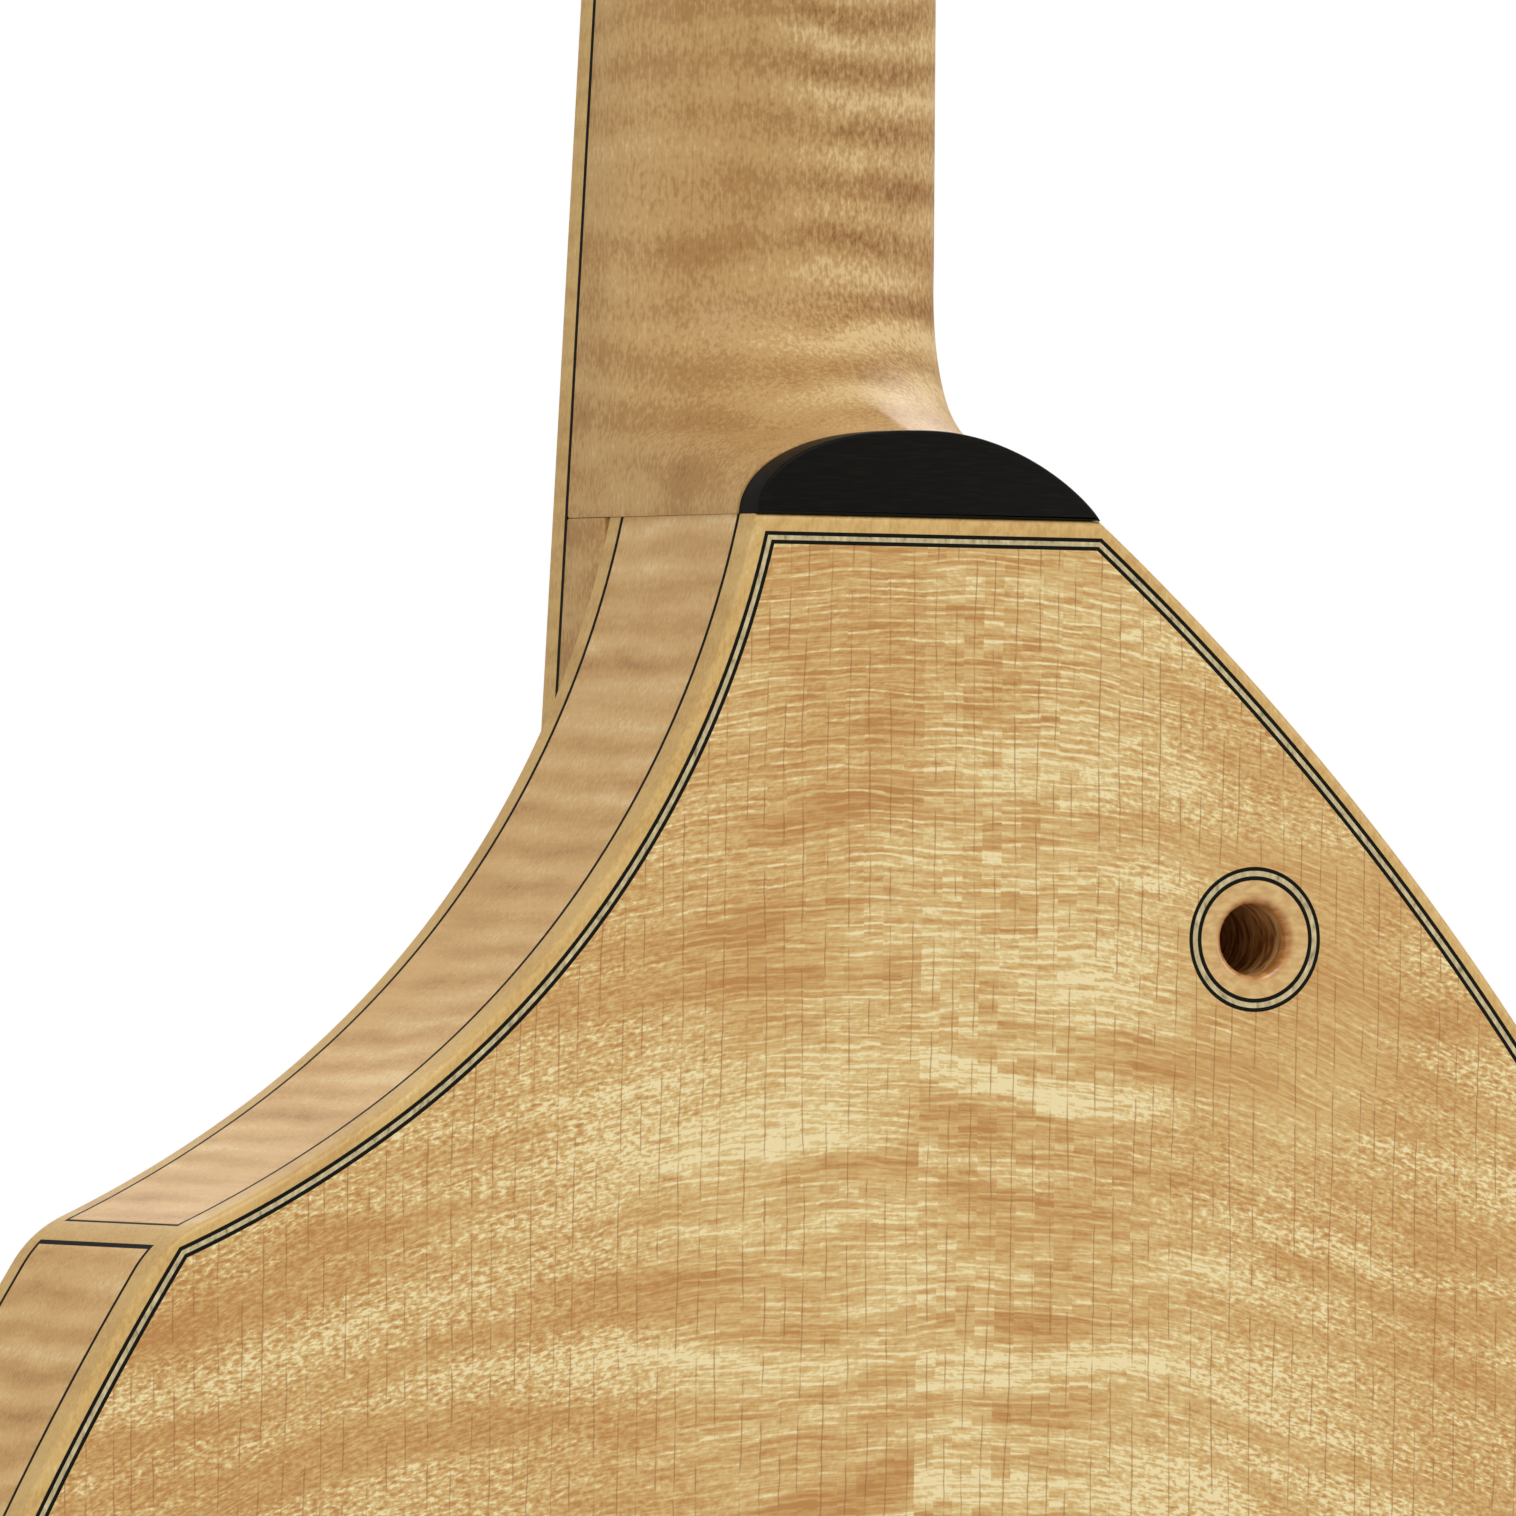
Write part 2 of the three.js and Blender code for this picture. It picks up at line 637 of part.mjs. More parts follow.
function neck() {
  const levels = [0, 4, 8, 11, HEEL_CAP_HEIGHT, 17, 21, 26, 31, 36, HEEL_TOP_Z, 60, 120, 210];
  return subtract(loft(levels.map(neckSection)), [beyondMitre(1)]);
}

function neckExtension() {
  const levels = [0, -4, -25, -50, -75, EXTENSION_END_Z];
  const rings = levels.map((z) => {
    const x = halfWidthAt(z);
    const front = neckPlane(NECK_FRONT_Y, z);
    const back = Math.min(FRONT_Y, boardFront(0, Math.min(z, -PURFLING_END))) - GLUE_GAP;
    return [
      new Vector3(-x, front, z),
      new Vector3(x, front, z),
      new Vector3(x, back, z),
      new Vector3(-x, back, z),
    ];
  });
  return loft(rings);
}

// The board's outline from its lower end up to the nut, moved in by the binding's width.
function fingerboardOutline(by) {
  const endZ = FINGERBOARD_END_Z + by;
  const bottom = halfWidthAt(endZ) - by;
  const top = halfWidthAt(NECK_LENGTH) - by;
  return [
    new Vector2(-top, NECK_LENGTH),
    new Vector2(-bottom, endZ),
    new Vector2(bottom, endZ),
    new Vector2(top, NECK_LENGTH),
  ];
}

function fingerboardParts() {
  const under = BOARD_FRONT_Y + FINGERBOARD_THICKNESS;
  const inner = fingerboardOutline(FINGERBOARD_BINDING);
  const binding = [...fingerboardOutline(0), ...inner.slice().reverse()];
  return {
    fingerboard: neckSlab(inner, under, BOARD_FRONT_Y),
    fingerboard_binding: neckSlab(binding, under, BOARD_FRONT_Y),
  };
}

function nut() {
  const x = halfWidthAt(NECK_LENGTH) - 0.2;
  const points = [
    new Vector2(-x, NECK_LENGTH + 0.05),
    new Vector2(x, NECK_LENGTH + 0.05),
    new Vector2(x, NUT_TOP_Z),
    new Vector2(-x, NUT_TOP_Z),
  ];
  return neckSlab(points, NECK_FRONT_Y - 0.02, BOARD_FRONT_Y - NUT_PROUD);
}

// Places in the pegbox: a distance along its curved rim and a height above that rim.
function pegboxPoint(along, up, x) {
  const bend = (PEGBOX_START_ANGLE - PEGBOX_END_ANGLE) / PEGBOX_LENGTH;
  const angle = PEGBOX_START_ANGLE - bend * along;
  const y = (Math.cos(angle) - Math.cos(PEGBOX_START_ANGLE)) / bend;
  const z = (Math.sin(PEGBOX_START_ANGLE) - Math.sin(angle)) / bend;
  return new Vector3(
    x,
    PEGBOX_CORNER.x + y - up * Math.cos(angle),
    PEGBOX_CORNER.y + z + up * Math.sin(angle)
  );
}

const pegboxShare = (along) => along / PEGBOX_LENGTH;
const pegboxHalfWidth = (along) =>
  THREE.MathUtils.lerp(halfWidthAt(NECK_LENGTH), PEGBOX_END_HALF_WIDTH, pegboxShare(along));
const pegboxDepth = (along) =>
  THREE.MathUtils.lerp(PEGBOX_START_DEPTH, PEGBOX_END_DEPTH, pegboxShare(along));
const pegAlong = (i) => PEG_FIRST + PEG_PITCH * i;
const pegSide = (i) => (i % 2 === 0 ? -1 : 1);
const CHEEK_STATIONS = Array.from({ length: 11 }, (_, i) => -20 + 20.3 * i);

function cheek(side) {
  const rim = CHEEK_STATIONS.map((along) => new Vector2(along, 0));
  const foot = CHEEK_STATIONS.map(
    (along) => new Vector2(along, PEGBOX_FLOOR + PIECE_GAP - pegboxDepth(along))
  );
  const shape = new THREE.Shape([...foot, ...rim.reverse()]);
  for (let i = 0; i < PEG_COUNT; i++) {
    const hole = circlePoints(new Vector2(pegAlong(i), PEG_UP), PEG_HOLE_RADIUS, PEG_HOLE_SIDES);
    shape.holes.push(new THREE.Path(hole));
  }
  const geometry = new THREE.ExtrudeGeometry(shape, { depth: CHEEK_THICKNESS, bevelEnabled: false });
  const position = geometry.attributes.position;
  for (let i = 0; i < position.count; i++) {
    const along = position.getX(i);
    const x = side * (pegboxHalfWidth(along) - position.getZ(i));
    position.setXYZ(i, ...pegboxPoint(along, position.getY(i), x).toArray());
  }
  return subtract(closed(geometry), [beyondMitre(-1)]);
}

// Floor of the pegbox, rising at its far end into a block that closes the box and a small finial.
function pegboxBack() {
  const floorTop = (along) => PEGBOX_FLOOR - pegboxDepth(along);
  const section = (along, low, high, narrowing = 1) => {
    const x = pegboxHalfWidth(along) * narrowing;
    return [
      pegboxPoint(along, low, -x),
      pegboxPoint(along, low, x),
      pegboxPoint(along, high, x),
      pegboxPoint(along, high, -x),
    ];
  };
  const cheekEnd = CHEEK_STATIONS[CHEEK_STATIONS.length - 1];
  const rings = CHEEK_STATIONS.map((along) => section(along, -pegboxDepth(along), floorTop(along)));
  rings.push(section(cheekEnd + 1, -pegboxDepth(cheekEnd), 0));
  rings.push(section(cheekEnd + 8, -pegboxDepth(cheekEnd), 0));
  rings.push(section(cheekEnd + 12, -14, -1, 0.6));
  rings.push(section(cheekEnd + 18, -13, 0, 0.85));
  rings.push(section(cheekEnd + 25, -8, -2, 0.45));
  return subtract(loft(rings), [beyondMitre(-1)]);
}

// A peg lies along X: far end, tapered shank, collar, stem and a flat oval head.
function peg(i) {
  const side = pegSide(i);
  const along = pegAlong(i);
  const reach = pegboxHalfWidth(along);
  const stations = [
    [-reach - 2, 2.9, 2.9],
    [reach, PEG_RADIUS, PEG_RADIUS],
    [reach + 1, PEG_RADIUS, PEG_RADIUS],
    [reach + 1.6, 5.2, 5.2],
    [reach + 4.2, 5.2, 5.2],
    [reach + 5.6, 3.4, 3.4],
    [reach + 9, 6.4, 3.2],
    [reach + 16, 10.2, 3],
    [reach + 23, 9, 2.8],
    [reach + 27, 4, 2],
  ];
  const centre = pegboxPoint(along, PEG_UP, 0);
  const turn = i * PEG_TURN;
  const rings = stations.map(([x, wide, thin]) =>
    circlePoints(new Vector2(0, 0), 1, 10).map((p) => {
      const spun = new Vector2(p.x * wide, p.y * thin).rotateAround(new Vector2(0, 0), turn);
      return new Vector3(side * x, centre.y + spun.x, centre.z + spun.y);
    })
  );
  return loft(rings);
}

// Where each string crosses the nut and the bridge, from the single bass to the treble.
function stringLayout() {
  const strings = [];
  for (let course = 0; course < COURSES; course++) {
    const share = course / (COURSES - 1) - 0.5;
    const pair = course === 0 ? [0] : [-0.5, 0.5];
    for (const offset of pair) {
      strings.push({
        radius: STRING_RADII[course],
        nutX: share * NUT_SPREAD + offset * NUT_PAIR_GAP,
        bridgeX: share * BRIDGE_SPREAD + offset * BRIDGE_PAIR_GAP,
        wound: course < 3,
      });
    }
  }
  return strings;
}

// The outer strings take the near pegs: six pegs on the bass side, five on the treble side.
const PEG_OF_STRING = [0, 2, 4, 6, 8, 10, 9, 7, 5, 3, 1];

function stringPath({ radius, nutX, bridgeX }, index) {
  const pegIndex = PEG_OF_STRING[index];
  const along = pegAlong(pegIndex);
  const nutTop = neckPlane(BOARD_FRONT_Y - NUT_PROUD, NUT_TOP_Z);
  const clear = radius + STRING_LIFT;
  const bridgeRear = BRIDGE_HALF_THICKNESS * BRIDGE_TOP_SHARE;
  const tailX = bridgeX * 0.78;
  const pegX = nutX * 0.55;
  return [
    new Vector3(tailX, TAILPIECE_TOP_Y - 1, TAILPIECE_TOP_Z + PIECE_GAP),
    new Vector3(bridgeX, BRIDGE_TOP_Y - clear, BRIDGE_Z - bridgeRear),
    new Vector3(nutX, nutTop - clear, NUT_TOP_Z + 2 * STRING_LIFT),
    pegboxPoint(along, PEG_UP + PEG_RADIUS + clear, pegX),
  ];
}

// The bridge is an arcade on two feet, and gets thinner from the feet to the top.
function bridge() {
  const half = BRIDGE_HALF_THICKNESS;
  const footOut = 44;
  const footIn = 25;
  const lift = PIECE_GAP;
  const seat = (x) =>
    Math.min(boardFront(x, BRIDGE_Z - half), boardFront(x, BRIDGE_Z + half)) - lift;
  const side = [
    [footIn, seat(footIn)],
    [footOut, seat(footOut)],
    [footOut, seat(footOut) - 5],
    [37, -79],
    [35, BRIDGE_TOP_Y + 3],
    [33.5, BRIDGE_TOP_Y],
  ];
  const arcade = [
    [21, -75],
    [12, -79.5],
    [0, -81],
  ];
  const right = [...side].map(([x, y]) => new Vector2(x, y));
  const left = right.map((p) => new Vector2(-p.x, p.y)).reverse();
  const inner = arcade.map(([x, y]) => new Vector2(-x, y));
  const back = arcade.slice(0, -1).map(([x, y]) => new Vector2(x, y)).reverse();
  const shape = new THREE.Shape([...right, ...left, ...inner, ...back]);
  const geometry = new THREE.ExtrudeGeometry(shape, { depth: 2 * half, bevelEnabled: false });
  geometry.translate(0, 0, -half);
  const position = geometry.attributes.position;
  for (let i = 0; i < position.count; i++) {
    const rise = THREE.MathUtils.inverseLerp(seat(footIn), BRIDGE_TOP_Y, position.getY(i));
    const share = THREE.MathUtils.lerp(1, BRIDGE_TOP_SHARE, THREE.MathUtils.clamp(rise, 0, 1));
    position.setZ(i, BRIDGE_Z + position.getZ(i) * share);
  }
  return closed(geometry);
}

function tailpiece() {
  const section = (z, y, halfWidth) => [
    new Vector3(-halfWidth, y, z),
    new Vector3(halfWidth, y, z),
    new Vector3(halfWidth, y + TAILPIECE_THICKNESS, z),
    new Vector3(-halfWidth, y + TAILPIECE_THICKNESS, z),
  ];
  const y = (share) => THREE.MathUtils.lerp(TAILPIECE_TOP_Y - 3, TAILPIECE_END_Y - 2, share);
  const z = (share) => THREE.MathUtils.lerp(TAILPIECE_TOP_Z, TAILPIECE_END_Z, share);
  return loft([
    section(z(0), y(0), 30),
    section(z(0.25), y(0.25), 29),
    section(z(0.6), y(0.6), 20),
    section(z(1), y(1), 13),
  ]);
}

// A gut loop from the tailpiece over the lower edge and round the button.
function tailGut() {
  const radius = 1.2;
  const edgeZ = BODY_END_Z - radius - PIECE_GAP;
  const leg = (side) => [
    new Vector3(side * 8, TAILPIECE_END_Y + 1, TAILPIECE_END_Z - 3 * PIECE_GAP),
    new Vector3(side * 7.4, FRONT_Y - radius - 1.6, BODY_END_Z + 2.5),
    new Vector3(side * 7.2, FRONT_Y - 0.6, edgeZ),
    new Vector3(side * 6.6, BUTTON_Y - 3, edgeZ),
  ];
  const round = [30, 65, 90, 115, 150].map((degrees) => {
    const angle = degrees * DEG;
    const reach = 5.9;
    return new Vector3(reach * Math.cos(angle), BUTTON_Y + reach * Math.sin(angle), edgeZ);
  });
  return tube([...leg(1), ...round, ...leg(-1).reverse()], radius, 8);
}

function endButton() {
  const profile = [
    [0, 0],
    [4.3, 0],
    [4.3, 3.4],
    [8.2, 5.4],
    [8.8, 8.5],
    [6.8, BUTTON_LENGTH - 1.5],
    [5, BUTTON_LENGTH],
    [0, BUTTON_LENGTH],
  ];
  const geometry = new THREE.LatheGeometry(profile.map(([r, h]) => new Vector2(r, h)), 20);
  geometry.rotateX(-Math.PI / 2);
  geometry.translate(0, BUTTON_Y, BODY_END_Z - 0.05);
  return closed(geometry);
}

const group = new THREE.Group();

function add(name, geometry, material) {
  const mesh = new THREE.Mesh(geometry, material);
  mesh.name = name;
  group.add(mesh);
}

function addBody() {
  const { back_maple, rib_maple, edge_maple, spruce, inner_spruce, purfling } = FINISHES;
  const socketHole = circlePoints(SOCKET_CENTRE, SOCKET_RING_RADIUS, 24);
  add("back_plate_treble", slab(trebleHalf(PURFLING_END), 0, -BACK_THICKNESS), back_maple);
  add("back_plate_bass", slab(bassHalf(PURFLING_END), 0, -BACK_THICKNESS, [socketHole]), back_maple);
  add("back_binding", edgeRing(0, BINDING_WIDTH, 0, -BACK_BAND), edge_maple);
  add("back_purfling", edgeRing(BINDING_WIDTH, PURFLING_END, 0, -BACK_THICKNESS), purfling);
  for (const [name, geometry] of Object.entries(ribs())) {
    add(name, geometry, rib_maple);
  }
  add("front_binding", edgeRing(0, BINDING_WIDTH, RIB_TO_Y, FRONT_Y), edge_maple);
  const boardBackY = FRONT_Y + BOARD_THICKNESS;
  add("front_purfling", edgeRing(BINDING_WIDTH, PURFLING_END, boardBackY, FRONT_Y), purfling);
  add("soundboard", soundboard(), spruce);
  for (const [name, size] of Object.entries(ROSETTES)) {
    add(name, rosette(size), FINISHES.rosewood);
  }
  add("neck_block", neckBlock(), inner_spruce);
  add("tail_block", tailBlock(), inner_spruce);
  add("cutaway_block", cutawayBlock(), inner_spruce);
  add("back_lining", lining(BACK_LINING_Y), inner_spruce);
  add("front_lining", lining(FRONT_LINING_Y), inner_spruce);
  add("back_brace", backBrace(), inner_spruce);
  add("soundboard_brace_upper", boardBrace(-158, 118), inner_spruce);
  add("soundboard_brace_lower", boardBrace(-332, 158), inner_spruce);
  const socket = socketParts();
  add("socket_purfling", socket.socket_purfling, purfling);
  add("socket_ferrule", socket.socket_ferrule, edge_maple);
  add("socket_block", socket.socket_block, rib_maple);
}

function addNeck() {
  const { neck_maple, edge_maple, ebony, bone } = FINISHES;
  add("neck", neck(), neck_maple);
  add("neck_extension", neckExtension(), neck_maple);
  const board = fingerboardParts();
  add("fingerboard", board.fingerboard, ebony);
  add("fingerboard_binding", board.fingerboard_binding, edge_maple);
  add("heel_cap", heelCap(), ebony);
  add("nut", nut(), bone);
  add("pegbox_cheek_treble", cheek(1), neck_maple);
  add("pegbox_cheek_bass", cheek(-1), neck_maple);
  add("pegbox_back", pegboxBack(), neck_maple);
  for (let i = 0; i < PEG_COUNT; i++) {
    add(`peg_${i + 1}`, peg(i), ebony);
  }
}

function addStringing() {
  const { ebony, gut, nylon, wound_string } = FINISHES;
  add("bridge", bridge(), ebony);
  add("tailpiece", tailpiece(), ebony);
  add("tail_gut", tailGut(), gut);
  add("end_button", endButton(), ebony);
  stringLayout().forEach((string, i) => {
    const material = string.wound ? wound_string : nylon;
    add(`string_${i + 1}`, tube(stringPath(string, i), string.radius, 8), material);
  });
}

addBody();
addNeck();
addStringing();
group.position.set(0, -ridgeAt(HANG_Z), -HANG_Z);

export default group;
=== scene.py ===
"""Looks of a flat-backed cutaway oud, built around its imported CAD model.

Shapes are worked out in millimetres in the maker's frame: X to the treble side, Y out of the back with 0
on the back's face, Z up the neck with 0 at the neck joint. place() carries them into the CAD's frame,
in metres.
"""

import math

import bmesh
import bpy
import numpy as np
from mathutils import Matrix, Vector
from mathutils.geometry import tessellate_polygon


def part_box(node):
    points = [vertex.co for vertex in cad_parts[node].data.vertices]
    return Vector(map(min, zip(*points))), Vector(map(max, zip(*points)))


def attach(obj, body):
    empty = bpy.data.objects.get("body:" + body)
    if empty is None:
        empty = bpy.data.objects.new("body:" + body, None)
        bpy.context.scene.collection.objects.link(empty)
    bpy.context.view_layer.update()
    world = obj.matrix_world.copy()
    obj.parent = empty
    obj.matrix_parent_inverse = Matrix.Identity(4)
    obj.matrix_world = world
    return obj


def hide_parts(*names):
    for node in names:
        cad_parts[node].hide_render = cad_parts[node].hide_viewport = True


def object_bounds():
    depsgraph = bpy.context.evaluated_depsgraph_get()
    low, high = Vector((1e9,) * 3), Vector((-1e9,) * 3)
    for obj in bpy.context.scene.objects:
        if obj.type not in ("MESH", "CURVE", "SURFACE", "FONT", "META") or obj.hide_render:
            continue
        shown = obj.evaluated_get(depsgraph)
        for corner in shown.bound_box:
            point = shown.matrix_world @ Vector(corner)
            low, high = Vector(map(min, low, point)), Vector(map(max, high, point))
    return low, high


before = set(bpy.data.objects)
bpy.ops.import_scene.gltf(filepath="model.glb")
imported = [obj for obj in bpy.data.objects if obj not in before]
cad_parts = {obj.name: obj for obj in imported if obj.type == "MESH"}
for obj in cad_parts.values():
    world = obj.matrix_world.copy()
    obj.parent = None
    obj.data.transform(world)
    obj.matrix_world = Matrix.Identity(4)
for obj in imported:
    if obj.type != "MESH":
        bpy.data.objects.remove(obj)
CAD_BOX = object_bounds()

MM = 0.001
ROOT = "instrument"
BACK_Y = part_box("back_plate_treble")[1].y / MM
JOINT_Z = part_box("heel_cap")[0].z / MM

# ------------------------------------------------------------------ driving dimensions, mm
BODY_DEPTH = 56.0
FRONT_Y = -BODY_DEPTH
# The bout's radius is 188 in CAD. This one keeps the finer arc inside the CAD's facets.
BOUT_Z, BOUT_RADIUS = -287.0, 187.88
BASS_RADIUS, BASS_TOP_X = 464.6, 29.7
TREBLE_RADIUS, TREBLE_TOP_X = 474.9, 26.2
CUTAWAY_CENTRE, CUTAWAY_TOP_X = np.array([176.5, 31.0]), 29.0
CUTAWAY_BEND_X, CUTAWAY_END_RADIUS = 90.0, 200.0
CUTAWAY_POINT_NEAR = np.array([125.0, -111.0])
POINT_ROUNDING = 6.0
BINDING_WIDTH, TOP_BINDING_EXTRA = 1.95, 0.7
PURFLING_LINE, PURFLING_CORE = 0.62, 0.71
PURFLING_END = BINDING_WIDTH + 2 * PURFLING_LINE + PURFLING_CORE
BACK_BAND, FRONT_BAND, SIDE_LINE = 6.84, 5.5, 1.0
RIB_THICKNESS = 2.4
PLATE_THICKNESS = 2.8
BOARD_THICKNESS = 3.0
ARCH_HEIGHT, ARCH_PLATEAU = 13.0, 0.5
ARCH_CENTRE = np.array([0.0, -282.0])
SOCKET = np.array([-57.2, -64.5])
NECK_LENGTH = 195.0
BRIDGE_Z = -390.0
NECK_HALF_WIDTH, NECK_TAPER, NECK_TILT = 29.6, 0.0274, 0.0372
BOARD_FRONT = -76.0
FINGERBOARD_THICKNESS, VENEER = 5.1, 0.6
NECK_FRONT = BOARD_FRONT + FINGERBOARD_THICKNESS + VENEER
FINGERBOARD_END, FINGERBOARD_BINDING = -112.0, 2.0
NECK_DEPTH = 22.3
CAP_HEIGHT, HEEL_TOP = 13.4, 42.0
NUT_LENGTH, NUT_PROUD = 5.0, 1.2
PIECE_GAP = 0.3


def place(points):
    """Points in the maker's frame, mm, as an array in the CAD's frame, metres."""
    p = np.array(points, float).reshape(-1, 3)
    return (p + np.array([0.0, BACK_Y, JOINT_Z])) * MM


# ------------------------------------------------------------------ outline
def circles_meet(c1, r1, c2, r2, near):
    """The point nearest to a given one where two circles cross, or touch."""
    gap = np.linalg.norm(c2 - c1)
    along = (r1 * r1 - r2 * r2 + gap * gap) / (2 * gap)
    across = math.sqrt(r1 * r1 - along * along)
    d = (c2 - c1) / gap
    foot, side = c1 + d * along, np.array([-d[1], d[0]]) * across
    return min((foot + side, foot - side), key=lambda p: np.linalg.norm(p - near))


BOUT_CENTRE = np.array([0.0, BOUT_Z])


def shoulder_centre(top_x, radius):
    top = np.array([top_x, 0.0])
    return circles_meet(top, radius, BOUT_CENTRE, radius - BOUT_RADIUS, np.array([-10 * top_x, -360.0]))


BASS_CENTRE = shoulder_centre(-BASS_TOP_X, BASS_RADIUS)
TREBLE_CENTRE = shoulder_centre(TREBLE_TOP_X, TREBLE_RADIUS)
CUTAWAY_RADIUS = np.linalg.norm(CUTAWAY_CENTRE - np.array([CUTAWAY_TOP_X, 0.0]))
# Past this bend the cutaway runs on to its point with a larger radius.
BEND_DROP = math.sqrt(CUTAWAY_RADIUS**2 - (CUTAWAY_BEND_X - CUTAWAY_CENTRE[0]) ** 2)
BEND = np.array([CUTAWAY_BEND_X, CUTAWAY_CENTRE[1] - BEND_DROP])
CUTAWAY_END_CENTRE = BEND + (CUTAWAY_CENTRE - BEND) * CUTAWAY_END_RADIUS / CUTAWAY_RADIUS


def angle_on(centre, point):
    return math.atan2(point[1] - centre[1], point[0] - centre[0]) % (2 * math.pi)


def arc(centre, radius, start, end, steps):
    t = np.linspace(start, end, steps + 1)[:, None]
    return centre + radius * np.hstack([np.cos(t), np.sin(t)])


def at_height(centre, radius, z, side):
    return np.array([centre[0] + side * math.sqrt(radius**2 - (z - centre[1]) ** 2), z])


BASS_TANGENT = angle_on(BASS_CENTRE, BOUT_CENTRE)
TREBLE_TANGENT = angle_on(TREBLE_CENTRE, BOUT_CENTRE)
TAIL_ANGLE = 1.5 * math.pi
BEND_ANGLE = angle_on(CUTAWAY_CENTRE, BEND)
STEPS = {"bass": 60, "bout": 90, "treble": 24, "cutaway_end": 20, "cutaway": 44}
# Shares of the rounded point at which its lower line, its strip, its upper line and the cutaway begin
POINT_SHARES = [0.0, 0.335, 5 / 12, 10 / 12, 0.88, 1.0]


def outline_parts(by):
    """The body's outline moved inwards, as stretches whose point counts are always the same."""
    top = -by - TOP_BINDING_EXTRA * min(by / BINDING_WIDTH, 1.0)
    bass_r, treble_r, cut_r = BASS_RADIUS - by, TREBLE_RADIUS - by, CUTAWAY_RADIUS + by
    end_r = CUTAWAY_END_RADIUS + by
    corner = circles_meet(CUTAWAY_END_CENTRE, end_r, TREBLE_CENTRE, treble_r, CUTAWAY_POINT_NEAR)
    cut = max(POINT_ROUNDING * (1 - by / BINDING_WIDTH), 0.02)
    below = circles_meet(TREBLE_CENTRE, treble_r, corner, cut, corner + [5, -7])
    above = circles_meet(CUTAWAY_END_CENTRE, end_r, corner, cut, corner + [-7, 5])

    def point_curve(stretch, steps):
        t = np.linspace(*POINT_SHARES[stretch : stretch + 2], steps + 1)[:, None]
        return (1 - t) ** 2 * below + 2 * t * (1 - t) * corner + t**2 * above

    bass_start = angle_on(BASS_CENTRE, at_height(BASS_CENTRE, bass_r, top, -1))
    cut_end = angle_on(CUTAWAY_CENTRE, at_height(CUTAWAY_CENTRE, cut_r, top, -1))
    below_angle = angle_on(TREBLE_CENTRE, below)
    above_angle = angle_on(CUTAWAY_END_CENTRE, above)
    return {
        "bass": np.vstack([
            arc(BASS_CENTRE, bass_r, bass_start, BASS_TANGENT, STEPS["bass"]),
            arc(BOUT_CENTRE, BOUT_RADIUS - by, BASS_TANGENT, TAIL_ANGLE, STEPS["bout"])[1:],
        ]),
        "treble": np.vstack([
            arc(BOUT_CENTRE, BOUT_RADIUS - by, TAIL_ANGLE, TREBLE_TANGENT + 2 * math.pi, STEPS["bout"]),
            arc(TREBLE_CENTRE, treble_r, TREBLE_TANGENT, below_angle, STEPS["treble"])[1:],
            point_curve(0, 5)[1:],
        ]),
        "line_below": point_curve(1, 2),
        "point": point_curve(2, 6),
        "line_above": point_curve(3, 2),
        "cutaway": np.vstack([
            point_curve(4, 3),
            arc(CUTAWAY_END_CENTRE, end_r, above_angle, BEND_ANGLE, STEPS["cutaway_end"])[1:],
            arc(CUTAWAY_CENTRE, cut_r, BEND_ANGLE, cut_end, STEPS["cutaway"])[1:],
        ]),
    }


def outline(by):
    parts = outline_parts(by)
    return np.vstack([part[1:] if name != "bass" else part for name, part in parts.items()])


# ------------------------------------------------------------------ mesh helpers
def ramp(x, a, b):
    return min(max((x - a) / (b - a), 0.0), 1.0)


def smoothstep(x, a, b):
    t = ramp(x, a, b)
    return t * t * (3 - 2 * t)


def unit(v):
    return v / np.linalg.norm(v)


def add_object(name, data):
    obj = bpy.data.objects.new(name, data)
    bpy.context.scene.collection.objects.link(obj)
    return obj


def make_object(name, vertices, faces, material, smooth_angle=35, body=ROOT, slot=None, replaces=()):
    mesh = bpy.data.meshes.new(name)
    mesh.from_pydata([tuple(v) for v in vertices], [], [tuple(int(i) for i in f) for f in faces])
    bm = bmesh.new()
    bm.from_mesh(mesh)
    bmesh.ops.remove_doubles(bm, verts=bm.verts, dist=2e-6)
    bmesh.ops.dissolve_degenerate(bm, edges=bm.edges, dist=1e-6)
    bmesh.ops.recalc_face_normals(bm, faces=bm.faces)
    bm.to_mesh(mesh)
    bm.free()
    obj = add_object(name, mesh)
    mesh.materials.append(material)
    shade(obj, smooth_angle)
    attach(obj, body)
    if replaces:
        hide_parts(*replaces)
    return obj


def shade(obj, smooth_angle):
    obj.data.polygons.foreach_set("use_smooth", [True] * len(obj.data.polygons))
    obj.data.set_sharp_from_angle(angle=math.radians(smooth_angle))


def bore(obj, centres, radii, half_length):
    """Drills holes along X through the object, one at each centre (Y, Z)."""
    tool = bpy.data.meshes.new("drill")
    bm = bmesh.new()
    for (y, z), radius in zip(centres, radii):
        matrix = Matrix.Translation(place([0, y, z])[0]) @ Matrix.Rotation(math.pi / 2, 4, "Y")
        bmesh.ops.create_cone(bm, cap_ends=True, segments=40, radius1=radius * MM, radius2=radius * MM,
                              depth=2 * half_length * MM, matrix=matrix)
    bm.to_mesh(tool)
    bm.free()
    cutter = add_object("drill", tool)
    modifier = obj.modifiers.new("drill", "BOOLEAN")
    modifier.operation = "DIFFERENCE"
    modifier.solver = "EXACT"
    modifier.object = cutter
    bpy.context.view_layer.update()
    drilled = bpy.data.meshes.new_from_object(obj.evaluated_get(bpy.context.evaluated_depsgraph_get()))
    obj.modifiers.clear()
    obj.data = drilled
    bpy.data.objects.remove(cutter)
    bpy.data.meshes.remove(tool)
    shade(obj, 35)


